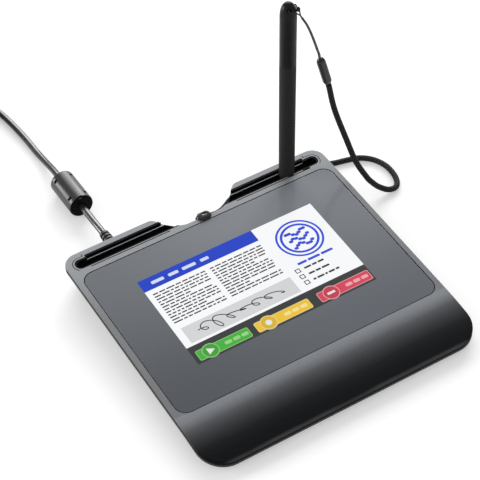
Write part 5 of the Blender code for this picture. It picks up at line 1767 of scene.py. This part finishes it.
def cord_mesh(name: str, points: Sequence[Vector], radius: float, sides: int) -> bpy.types.Object:
    """A round cord as a mesh, with U along its length and V around it.

    Args:
        name: its name.
        points: its centreline.
        radius: its radius.
        sides: its facets around.

    Returns:
        The mesh's object.
    """
    form = Form()
    bm = form.bm
    lay = bm.loops.layers.uv.new("along")
    total = length_of(points)
    rings = []
    along = 0.0
    normal = (points[1] - points[0]).orthogonal().normalized()
    for index, point in enumerate(points):
        before, after = points[max(index - 1, 0)], points[min(index + 1, len(points) - 1)]
        tangent = (after - before).normalized()
        normal = (normal - tangent * normal.dot(tangent)).normalized()
        turned = Matrix((normal, tangent.cross(normal), tangent)).transposed().to_4x4()
        ring = bmesh.ops.create_circle(bm, segments=sides, radius=radius, matrix=at(*point) @ turned)["verts"]
        if index:
            along += (point - points[index - 1]).length
        rings.append((ring, along / total))
    for (lower, start), (upper, stop) in zip(rings, rings[1:]):
        for step in range(sides):
            after = (step + 1) % sides
            face = bm.faces.new((lower[step], lower[after], upper[after], upper[step]))
            marks = ((start, step), (start, step + 1), (stop, step + 1), (stop, step))
            for loop, (u, v) in zip(face.loops, marks):
                loop[lay].uv = (u, v / sides)
    bm.faces.new(rings[0][0][::-1])
    bm.faces.new(rings[-1][0])
    return form.outward().piece(name)


# Tether


@dataclass
class Tether:
    """The anchor in the notch, the braided cord, the clasp and the string through the pen's eye."""

    radius: float = 1.65 * MM
    string_radius: float = 0.4 * MM
    strand: float = 2.6 * MM
    string_strand: float = 1.6 * MM
    clasp_low: Point = (0.0828, 0.0682, 0.0699)
    clasp_high: Point = (0.0789, 0.0698, 0.0882)
    clasp_size: tuple[float, float, float] = (5.0 * MM, 4.0 * MM, 1.7 * MM)
    clasp_shares: tuple[tuple[float, float], ...] = (
        (0.0, 0.50), (0.03, 0.70), (0.08, 0.90), (0.14, 1.0),
        (0.84, 1.0), (0.91, 0.90), (0.97, 0.66), (1.0, 0.42),
    )
    gap: float = 0.3 * MM
    plate_rear: float = 69.3 * MM
    exit_height: float = 7.0 * MM
    lie: float = 1.5 * MM
    route: tuple[Point, ...] = (
        (0.0010, 0.0752, 0.0065), (0.0038, 0.0772, 0.0050), (0.0082, 0.0779, 0.0029),
        (0.0130, 0.0780, 0.0017), (0.0175, 0.0787, 0.0015), (0.0215, 0.0806, 0.0015),
        (0.0260, 0.0832, 0.0015), (0.0330, 0.0849, 0.0015), (0.0440, 0.0856, 0.0015),
        (0.0580, 0.0854, 0.0015), (0.0720, 0.0832, 0.0015), (0.0830, 0.0798, 0.0015),
        (0.0904, 0.0763, 0.0015), (0.0980, 0.0743, 0.0015), (0.1052, 0.0718, 0.0015),
        (0.1112, 0.0660, 0.0015), (0.1142, 0.0571, 0.0015), (0.1133, 0.0470, 0.0015),
        (0.1095, 0.0405, 0.0016), (0.1040, 0.0400, 0.0022), (0.0990, 0.0428, 0.0048),
        (0.0958, 0.0448, 0.0084), (0.0938, 0.0468, 0.0115), (0.0903, 0.0525, 0.0207),
        (0.0882, 0.0585, 0.0332), (0.0847, 0.0650, 0.0525),
    )
    string_route: tuple[Point, ...] = (
        (0.0784, 0.0698, 0.0912), (0.0773, 0.0698, 0.0950), (0.0758, 0.0698, 0.1004),
        (0.0736, 0.0696, 0.1075), (0.0711, 0.0692, 0.1141), (0.0682, 0.0688, 0.1199),
    )
    strand_side: Point = (-0.32, 0.94, 0.0)
    string_entry: Point = (0.0662, 0.0712, 0.1274)
    string_exit: tuple[Point, ...] = (
        (0.0607, 0.0666, 0.1277), (0.0634, 0.0668, 0.1264), (0.0658, 0.0675, 0.1238),
    )
    knot_middle: tuple[float, float] = (0.0650, 0.0674)
    knot_low: float = 0.1268
    knot_high: float = 0.1288
    knot_radius: float = 0.75 * MM
    knot_turns: float = 2.5
    knot_steps: int = 24
    braid_tones: tuple[Colour, Colour] = ((0.003, 0.003, 0.003), (0.018, 0.018, 0.019))
    string_tones: tuple[Colour, Colour, Colour] = (
        (0.006, 0.006, 0.006), (0.02, 0.02, 0.021), (0.12, 0.12, 0.125),
    )
    clip_plate: Box = (5.88 * MM, 2.4 * MM, 0.9 * MM, 0.0, 68.1 * MM)
    clip_cap: Box = (8.4 * MM, 5.6 * MM, 2.7 * MM, 0.0, 66.1 * MM)
    clip_heights: tuple[float, float] = (0.3 * MM, 1.6 * MM)
    dimple_place: Point = (0.8 * MM, 66.6 * MM, 2.0 * MM)
    dimple_size: Point = (2.4 * MM, 1.5 * MM, 0.9 * MM)

    @property
    def axis(self) -> Vector:
        """The clasp's direction, up towards the pen."""
        return (Vector(self.clasp_high) - Vector(self.clasp_low)).normalized()

    def cord(self, clasp: bpy.types.Object) -> None:
        """The braided cord, from the anchor in the notch up to the clasp.

        Args:
            clasp: not used.
        """
        start = DECK.matrix @ Vector(
            (0.0, self.plate_rear + self.gap, DECK.level(self.plate_rear, self.exit_height))
        )
        out = (DECK.matrix.to_3x3() @ Vector((0.0, 1.0, 0.0))) * self.radius
        end = Vector(self.clasp_low) - self.axis * self.gap
        raised = Vector((0.0, 0.0, self.radius - self.lie))
        laid = [Vector(point) + raised for point in self.route]
        points = [start, *smooth_route([start + out, *laid, end - self.axis * self.radius], 1.2 * MM), end]
        made = cord_mesh("braided_tether", points, self.radius, 20)
        total = length_of(points)
        braid = BraidedCord("tether_braid", *self.braid_tones, total / self.strand)
        made.data.materials.append(braid.make())
        made.data.shade_smooth()
        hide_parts("tether_cord")
        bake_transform(made)
        2.0 * self.radius
        LOG.info("braided_tether is %.0f mm long", total / MM)

    def clasp(self) -> bpy.types.Object:
        """The small glossy clasp between the cord and the string.

        Returns:
            The clasp.
        """
        length = (Vector(self.clasp_high) - Vector(self.clasp_low)).length
        layers = []
        for along, wide in self.clasp_shares:
            layers.append((rectangle(*(size * wide for size in self.clasp_size)), length * along))
        made = Form().stack(layers).piece("tether_clip")
        place = at(0.0, 2.0 * MM, length * 0.5) @ Matrix.Rotation(math.radians(90.0), 4, "X")
        slot = rectangle(1.0 * MM, 7.0 * MM, 0.45 * MM)
        carve(made, [slab("clip_slot", slot, -3.0 * MM, 0.6 * MM, place, 6)])
        z = self.axis
        y = z.cross(Vector((1.0, 0.0, 0.0))).normalized()
        turn = Matrix((y.cross(z).normalized(), y, z)).transposed().to_4x4()
        made.data.transform(at(*self.clasp_low) @ turn)
        round_edges(made, 0.12 * MM, 2, 50.0)
        return hand_over(made, "clasp", Body.PEN, ("tether_clasp",))

    def knot(self) -> list[Vector]:
        """The string's tight turns beside the eye, before it goes in.

        Returns:
            The points, with the eye's mouth as the last.
        """
        points = []
        for index in range(self.knot_steps + 1):
            share = index / self.knot_steps
            angle = math.radians(-60.0) + math.tau * self.knot_turns * share
            x = self.knot_middle[0] + self.knot_radius * math.cos(angle)
            y = self.knot_middle[1] + self.knot_radius * math.sin(angle)
            points.append(Vector((x, y, self.knot_low + (self.knot_high - self.knot_low) * share)))
        return [*points, Vector(self.string_entry)]

    def string(self, pen: Pen) -> None:
        """The thin string: up from the clasp, through the pen's eye and back.

        Args:
            pen: the pen.
        """
        eye = pen.matrix @ pen.eye
        start = Vector(self.clasp_high) + self.axis * self.gap
        side = Vector(self.strand_side) * (self.string_radius + self.gap / 2.0)
        above = start + self.axis * 2.0 * self.string_radius
        knots = [start, above, *(Vector(point) for point in self.string_route)]
        up, down = [knot + side for knot in knots], [knot - side for knot in reversed(knots)]
        mouth = pen.radius * 0.75
        through = [eye @ Vector((0.0, 0.0, along)) for along in (mouth, 0.0, -mouth)]
        points = smooth_route([*up, *self.knot(), *through, *self.string_exit, *down], 0.4 * MM)
        made = cord_mesh("pen_string", points, self.string_radius, 12)
        total = length_of(points)
        dark, light, pale = self.string_tones
        twist = BraidedCord("string_twist", dark, light, total / self.string_strand, 2.0, pale, 0.2)
        hand_over(made, twist, Body.PEN, ("tether_string",), even=False)

    def anchor(self) -> None:
        """The glossy clip over the notch's rail, with a dimple where the cord is held."""
        low = DECK.level(self.plate_rear, 3.5 * MM)
        made = slab("anchor_clip", rectangle(*self.clip_plate), low, 0.4 * MM, DECK.matrix, 6)
        cap = Form().plate(rectangle(*self.clip_cap), *self.clip_heights, 10)
        cap.soften(1.2 * MM, 6, above=1.0 * MM)
        carve(made, [cap.move(DECK.matrix).piece("anchor_cap")], "UNION")
        dimple = Form()
        bmesh.ops.create_uvsphere(dimple.bm, u_segments=32, v_segments=16, radius=1.0)
        lay = at(*self.dimple_place) @ Matrix.Diagonal((*self.dimple_size, 1.0))
        carve(made, [dimple.move(DECK.matrix @ lay).piece("dimple")])
        hand_over(made, "clip", Body.PAD, ("tether_anchor",))


# USB lead


@dataclass
class Lead:
    """The USB lead: boot, cable with its ferrite bead, the put-away coil and the plug."""

    radius: float = 2.0 * MM
    exit_x: float = -48.8 * MM
    exit_height: float = 8.5 * MM
    boot_end: float = 92.40 * MM
    boot_inside: float = 77.42 * MM
    boot_outside: float = 79.90 * MM
    boot_radius: float = 3.5 * MM
    bead_radius: float = 7.15 * MM
    bead_length: float = 26.2 * MM
    bead_bore: float = 2.4 * MM
    bead_edge: float = 1.6 * MM
    bead_wall: float = 1.2 * MM
    bead_place: tuple[float, float] = (-48.3 * MM, 119.5 * MM)
    bead_seam: float = 0.15 * MM
    latch_width: float = 2.2 * MM
    latch_half_length: float = 0.9 * MM
    latch_inset: float = 4.6 * MM
    coil_centre: tuple[float, float] = (-88.5 * MM, 250.0 * MM)
    coil_turns: float = 4.375
    coil_layers: int = 4
    coil_mean: float = 24.3 * MM
    coil_pitch: float = 4.55 * MM
    coil_lift: float = 1.4 * MM
    per_turn: int = 48
    gap: float = 0.3 * MM
    grip_size: tuple[float, float, float] = (15.5 * MM, 8.0 * MM, 2.5 * MM)
    grip_length: float = 22.0 * MM
    grip_shares: tuple[tuple[float, float], ...] = (
        (0.0, 0.5), (0.06, 0.62), (0.20, 0.9), (0.40, 1.0), (0.97, 1.0), (1.0, 0.94),
    )
    shell_width: float = 12.0 * MM
    shell_depth: float = 4.5 * MM
    shell_wall: float = 0.4 * MM
    sleeve_reach: tuple[float, float] = (19.3 * MM, 32.3 * MM)
    room_reach: tuple[float, float] = (19.7 * MM, 34.0 * MM)
    window_reach: tuple[float, float] = (26.5 * MM, 28.9 * MM)
    window_size: tuple[float, float] = (2.2 * MM, 1.6 * MM)
    window_side: float = 3.0 * MM
    contact_reach: tuple[float, float] = (23.0 * MM, 31.0 * MM)
    contact_size: tuple[float, float] = (1.1 * MM, 0.06 * MM)
    contact_pitch: float = 2.4 * MM
    groove_start: float = 9.0 * MM
    groove_width: float = 0.9 * MM
    groove_pitch: float = 2.2 * MM
    route: tuple[Point, ...] = (
        (-0.0488, 0.1010, 0.0083), (-0.0486, 0.1100, 0.0077), (-0.0484, 0.1190, 0.00725),
        (-0.0483, 0.1325, 0.00715), (-0.0482, 0.1460, 0.0070), (-0.0477, 0.1560, 0.0058),
        (-0.0475, 0.1680, 0.0036), (-0.0476, 0.1800, 0.0023), (-0.0478, 0.1950, 0.0021),
        (-0.0486, 0.2080, 0.0021), (-0.0499, 0.2200, 0.0022), (-0.0518, 0.2300, 0.0025),
    )
    tail_route: tuple[Point, ...] = (
        (-0.1225, 0.2340, 0.0160), (-0.1227, 0.2240, 0.0130), (-0.1228, 0.2140, 0.0088),
        (-0.1229, 0.2050, 0.0057), (-0.1230, 0.1970, 0.0043), (-0.1230, 0.1900, 0.0040),
    )

    def coil_points(self) -> list[Vector]:
        """The coil's centreline: layers that spiral in and out and climb where they reverse.

        Returns:
            The points, from the floor up.
        """
        turns_in_all = self.coil_turns * self.coil_layers
        outer = self.coil_mean + self.coil_pitch * self.coil_turns / 2.0
        count = round(turns_in_all * self.per_turn)
        points = []
        for index in range(count + 1):
            turns = turns_in_all * index / count
            layer = min(int(turns / self.coil_turns), self.coil_layers - 1)
            share = turns / self.coil_turns - layer
            drawn = share if layer % 2 == 0 else 1.0 - share
            radius = outer - self.coil_pitch * self.coil_turns * drawn
            climb = 0.0
            for reversal in range(1, self.coil_layers):
                passed = min(1.0, max(0.0, (turns - self.coil_turns * reversal) / 0.5 + 0.5))
                climb += passed * passed * (3.0 - 2.0 * passed)
            angle = math.tau * turns
            x = self.coil_centre[0] + radius * math.cos(angle)
            y = self.coil_centre[1] + radius * math.sin(angle)
            points.append(Vector((x, y, self.radius + self.coil_lift + self.coil_pitch * climb)))
        return points

    def cable(self, on_it: Sequence[bpy.types.Object]) -> None:
        """The whole cable, from the boot through the bead and the coil to the plug.

        Args:
            on_it: not used.
        """
        step = Vector((0.0, 2.0 * self.radius, 0.0))
        start = Vector((self.exit_x, self.boot_end + self.gap, self.exit_height))
        coil = self.coil_points()
        lead_in = smooth_route([start + step, *self.route, coil[0] - step], 3.0 * MM)
        tail = smooth_route([coil[-1] - step, *self.tail_route], 3.0 * MM)
        points = [start, *lead_in, *coil, *tail]
        total = length_of(points)
        made = cord_curve("usb_lead", points, self.radius, 6)
        hand_over(made, "cable", Body.PAD, ("usb_cable", "usb_coil", "usb_tail"), even=False)
        2.0 * self.radius
        LOG.info("usb_lead is %.3f m long", total)

    def boot(self) -> bpy.types.Object:
        """The tapered, ribbed strain relief.

        Returns:
            The strain relief.
        """
        inside, outside, end, wide = self.boot_inside, self.boot_outside, self.boot_end, self.boot_radius
        collar, neck = 3.4 * MM, 2.4 * MM
        profile = [(0.0, inside - 1.3 * MM), (collar, inside - 1.3 * MM), (collar, inside), (neck, inside)]
        profile += [(neck, outside), (wide - 0.2 * MM, outside), (wide, outside + 0.2 * MM)]
        for rib in range(4):
            place = outside + (1.6 + 2.6 * rib) * MM
            ridge = wide - 0.8 * MM * (place - outside) / (end - outside)
            for along, deep in ((0.0, 0.0), (0.15, 0.7), (1.15, 0.7), (1.3, 0.05)):
                profile.append((ridge - deep * MM, place + along * MM))
        profile += [(2.72 * MM, end - 0.3 * MM), (2.5 * MM, end), (0.0, end)]
        made = Form().turn(profile, 40).move(at(self.exit_x, 0.0, self.exit_height) @ ALONG_Y)
        return hand_over(made.piece("strain_relief"), "boot", Body.PAD, ("usb_boot",))

    def bead_profile(self) -> list[tuple[float, float]]:
        """The bead's closed section: rounded ends outside and room for the core inside.

        Returns:
            The (radius, height) points.
        """
        outer, length, bore, edge = self.bead_radius, self.bead_length, self.bead_bore, self.bead_edge
        steps = 8
        ends = []
        for step in range(steps + 1):
            angle = math.radians(90.0) * step / steps
            ends.append((outer - edge * (1.0 - math.sin(angle)), edge * (1.0 - math.cos(angle))))
        far = [(radius, length - height) for radius, height in reversed(ends)]
        room, wall = outer - self.bead_wall, self.bead_wall
        inside = [(bore, length), (bore, length - wall), (room, length - wall), (room, wall), (bore, wall)]
        return [(bore, 0.0), *ends, *far, *inside]

    def ferrite(self) -> list[bpy.types.Object]:
        """The bead's two case halves, with rounded ends, small latch windows on the seam and painted shade on
        the faces turned towards the pad.

        Returns:
            The halves.
        """
        outer, length = self.bead_radius, self.bead_length
        place = at(*self.bead_place, outer) @ ALONG_Y
        window, deep, inset = self.latch_width, self.latch_half_length, self.latch_inset
        reach = outer * math.sqrt(0.5)
        halves = []
        for name, side in (("upper", -1.0), ("lower", 1.0)):
            whole = Form().turn(self.bead_profile(), 64, closed=True).piece(f"bead_{name}")
            away = rectangle(40.0 * MM, 20.0 * MM, 0.0, 0.0, side * (self.bead_seam - 10.0 * MM))
            tools = [slab("other_half", away, -2.0 * MM, length + 2.0 * MM)]
            for along in (inset, length - inset):
                for across in (-1.0, 1.0):
                    corners = rectangle(window, window, 0.0, across * reach, side * reach)
                    tools.append(slab("latch_window", corners, along - deep, along + deep))
            notch = rectangle(window, 2.0 * MM, 0.0, 0.0, side * outer)
            tools.append(slab("end_notch", notch, -1.0 * MM, 1.5 * MM))
            carve(whole, tools)
            whole.data.transform(place)
            round_edges(whole, 0.12 * MM, 2, 45.0)
            halves.append(hand_over(whole, "ferrite", Body.PAD, (f"ferrite_case_{name}",)))
            # the faces turned towards the pad, away from the lamps, get the near-black finish: painted shade
            part_finish(whole, "recess", lambda place, normal: normal.y < -0.4)
        return halves

    def tie(self) -> bpy.types.Object:
        """The strap round the bundle.

        Returns:
            The strap.
        """
        half = self.coil_pitch * self.coil_turns / 2.0 + self.radius
        strap = 4.0 * MM
        near = math.sqrt((self.coil_mean - half) ** 2 - strap**2) - self.gap
        far = self.coil_mean + half + self.gap
        low = self.coil_lift - self.gap
        high = self.coil_lift + 2.0 * self.radius + self.coil_pitch * (self.coil_layers - 1) + self.gap
        middle, tall, grow = (near + far) / 2.0, (low + high) / 2.0, 1.6 * MM
        outer = rectangle(far - near + grow, high - low + grow, 2.4 * MM, middle, tall)
        inner = rectangle(far - near, high - low, 1.6 * MM, middle, tall)
        made = slab("coil_strap", outer, -strap, strap)
        carve(made, [slab("room", inner, -6.0 * MM, 6.0 * MM)])
        # the section's X, Y and Z become the table's Y, Z and X
        turned = Matrix(((0.0, 0.0, 1.0), (1.0, 0.0, 0.0), (0.0, 1.0, 0.0))).to_4x4()
        made.data.transform(at(*self.coil_centre) @ turned)
        round_edges(made, 0.2 * MM)
        return hand_over(made, "tie", Body.PAD, ("coil_tie",))

    def plug(self) -> list[bpy.types.Object]:
        """The plug: a moulded grip, the folded metal shell and the contacts on the tongue.

        Returns:
            The pieces.
        """
        x, y, z = self.tail_route[-1]
        place = at(x, y - self.gap, z) @ Matrix.Rotation(math.radians(90.0), 4, "X")
        layers = []
        for along, share in self.grip_shares:
            layers.append((rectangle(*(size * share for size in self.grip_size)), self.grip_length * along))
        grip = Form().stack(layers, 6).piece("plug_grip_body")
        tools = [slab("nose", rectangle(12.6 * MM, 5.1 * MM, 0.6 * MM), 19.0 * MM, 24.0 * MM, segments=3)]
        for row in range(4):
            low = self.groove_start + self.groove_pitch * row
            for side in (-1.0, 1.0):
                groove = rectangle(8.0 * MM, 0.8 * MM, 0.0, 0.0, side * 4.15 * MM)
                tools.append(slab("groove", groove, low, low + self.groove_width))
        carve(grip, tools)
        grip.data.transform(place)
        round_edges(grip, 0.2 * MM, 2, 50.0)
        pieces = [hand_over(grip, "boot", Body.PAD, ("usb_plug_grip",))]

        wide, deep, wall = self.shell_width, self.shell_depth, self.shell_wall
        sleeve = slab("plug_sleeve", rectangle(wide, deep, 0.6 * MM), *self.sleeve_reach, segments=4)
        inside = rectangle(wide - 2.0 * wall, deep - 2.0 * wall, 0.3 * MM)
        tools = [slab("inside", inside, *self.room_reach, segments=3)]
        for side in (-1.0, 1.0):
            for across in (-self.window_side, self.window_side):
                window = rectangle(*self.window_size, 0.0, across, side * deep / 2.0)
                tools.append(slab("window", window, *self.window_reach))
        carve(sleeve, tools)
        sleeve.data.transform(place)
        pieces.append(hand_over(sleeve, "steel", Body.PAD, ("usb_plug_shell",), even=False))
        tongue = deep / 2.0 - wall - 2.0 * MM
        for index in range(4):
            across = self.contact_pitch * (index - 1.5)
            strip = rectangle(*self.contact_size, 0.0, across, tongue - 0.035 * MM)
            made = slab(f"plug_contact_{index + 1}", strip, *self.contact_reach, place)
            pieces.append(hand_over(made, "contact", Body.PAD, even=False))
        return pieces


# Pieces of the solids that stay


@dataclass(frozen=True)
class KeptPieces:
    """Nodes whose own shape is right, by the finish that they get."""

    finishes: tuple[tuple[str, tuple[str, ...]], ...] = (
        ("seal", ("glass_seal",)),
        ("panel", ("lcd_panel",)),
        ("diffuser", ("lcd_backlight",)),
        ("steel", ("lcd_frame", "shield_plate", "pen_force_sensor")),
        ("board", ("sensor_board", "main_board", "pen_board")),
        ("flex", ("display_flex", "sensor_flex")),
        ("chip", ("processor_chip", "memory_chip", "lead_socket", "ferrite_core", "usb_plug_tongue")),
        ("zinc", ("board_screw_1", "board_screw_2", "board_screw_3", "board_screw_4")),
        ("shell", ("pen_holder",)),
        ("nib", ("pen_nib",)),
        ("copper", ("pen_coil",)),
        ("cable", ("usb_inner_lead",)),
    )

    def dress(self) -> None:
        """Gives each kept node its finish."""
        for finish, names in self.finishes:
            for name in names:
                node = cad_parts[name]
                node.data.materials.clear()
                node.data.materials.append(dressed(finish))
                LOG.info("%s keeps its shape, in %s", name, finish)


# Studio


@dataclass(frozen=True)
class Studio:
    """The camera, the lamps, the floor and the light around."""

    azimuth: float = math.radians(28.0993)
    elevation: float = math.radians(44.8098)
    roll: float = math.radians(-4.0001)
    place: Point = (-0.30110, -0.53766, 0.66648)
    focal_pixels: float = 1720.72
    frame_pixels: float = 480.0
    sensor: float = 36.0
    aim: Point = (0.0, 0.02, 0.02)
    lamp_places: tuple[tuple[str, Point, float, float], ...] = (
        ("back", (0.40, 1.45, 0.90), 0.7, 9.0),
        ("key", (1.17, 1.25, 0.85), 0.9, 21.0),
        ("fill", (-1.45, 1.15, 0.38), 0.7, 18.0),
    )
    around: float = 0.52
    floor_tone: float = 0.71
    floor_glow: float = 0.39
    floor_plain: float = 0.82

    def camera(self) -> None:
        """The camera at the photograph's viewing angle."""
        sine, cosine, flat = math.sin(self.azimuth), math.cos(self.azimuth), math.cos(self.elevation)
        forward = Vector((sine * flat, cosine * flat, -math.sin(self.elevation)))
        level = Vector((cosine, -sine, 0.0))
        upright = level.cross(forward)
        right = level * math.cos(self.roll) + upright * math.sin(self.roll)
        up = upright * math.cos(self.roll) - level * math.sin(self.roll)
        data = bpy.data.cameras.new("camera")
        data.sensor_width = self.sensor
        data.lens = self.focal_pixels / self.frame_pixels * self.sensor
        data.clip_start = 0.01
        data.clip_end = 20.0
        made = linked("camera", data)
        made.matrix_world = at(*self.place) @ Matrix((right, up, -forward)).transposed().to_4x4()
        bpy.context.scene.camera = made

    def lamp(self, name: str, place: Point, size: float, power: float) -> None:
        """A square soft lamp that faces the pad.

        Args:
            name: its name.
            place: where it stands.
            size: its side.
            power: its power in watts.
        """
        data = bpy.data.lights.new(name, "AREA")
        data.size = size
        data.energy = power
        aim = Vector(self.aim) - Vector(place)
        linked(name, data).matrix_world = at(*place) @ aim.to_track_quat("-Z", "Y").to_matrix().to_4x4()

    def lamps(self) -> None:
        """Three soft lamps behind the pad, of which the one on the left is low."""
        for name, place, size, power in self.lamp_places:
            self.lamp(name, place, size, power)

    def floor(self) -> None:
        """A plain white floor that keeps the soft shadow."""
        made = slab("floor", rectangle(8.0, 8.0), -20.0 * MM, -0.05 * MM)
        recipe = Recipe("floor_white")
        ray = recipe.node("ShaderNodeLightPath", {}, {}).outputs
        seen = Value(recipe, ray["Is Camera Ray"]).most(Value(recipe, ray["Is Glossy Ray"]))
        seen = seen.most(Value(recipe, ray["Is Transmission Ray"]))
        plain, lit = (
            recipe.node("ShaderNodeBsdfDiffuse", {}, {"Color": (tone, tone, tone)}).outputs[0]
            for tone in (self.floor_plain, self.floor_tone)
        )
        light = {"Color": (1.0, 1.0, 1.0), "Strength": self.floor_glow}
        glow = recipe.node("ShaderNodeEmission", {}, light).outputs[0]
        both = recipe.node("ShaderNodeAddShader", {}, {0: lit, 1: glow}).outputs[0]
        recipe.surface(recipe.node("ShaderNodeMixShader", {}, {0: seen, 1: plain, 2: both}).outputs[0])
        made.data.materials.append(recipe.owner)

    def surroundings(self) -> None:
        """An even pale light around, which shows white behind the floor."""
        world = bpy.data.worlds.new("surroundings")
        bpy.context.scene.world = world
        recipe = Recipe(world.name, world)
        seen = recipe.node("ShaderNodeLightPath", {}, {}).outputs["Is Camera Ray"]
        light = {"Color": (1.0, 1.0, 1.0), "Strength": self.around}
        soft = recipe.node("ShaderNodeBackground", {}, light).outputs[0]
        white = recipe.node("ShaderNodeBackground", {}, {"Strength": 1.0}).outputs[0]
        recipe.surface(recipe.node("ShaderNodeMixShader", {}, {0: seen, 1: soft, 2: white}).outputs[0])
        bpy.context.scene.view_settings.view_transform = "Standard"


def main() -> None:
    """Builds the classes in order and reports each piece."""
    logging.basicConfig(level=logging.INFO, format="%(name)s: %(message)s")
    studio = Studio()
    studio.camera()
    pen, tether, lead = Pen(), Tether(), Lead()
    on_lead = [lead.boot(), *lead.ferrite(), lead.tie(), *lead.plug()]
    on_lead += [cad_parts["ferrite_core"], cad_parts["usb_plug_tongue"]]
    lead.cable(on_lead)
    tether.cord(tether.clasp())
    tether.string(pen)
    tether.anchor()
    housing, trays, glass = Housing(), PenTrays(), GlassAndScreen()
    housing.top(trays, glass, pen)
    housing.base(trays)
    housing.feet()
    housing.screws()
    trays.build(housing, pen)
    glass.glass()
    glass.picture()
    pen.barrel()
    pen.cap()
    KeptPieces().dress()
    studio.lamps()
    studio.floor()
    studio.surroundings()


if __name__ == "__main__":
    main()
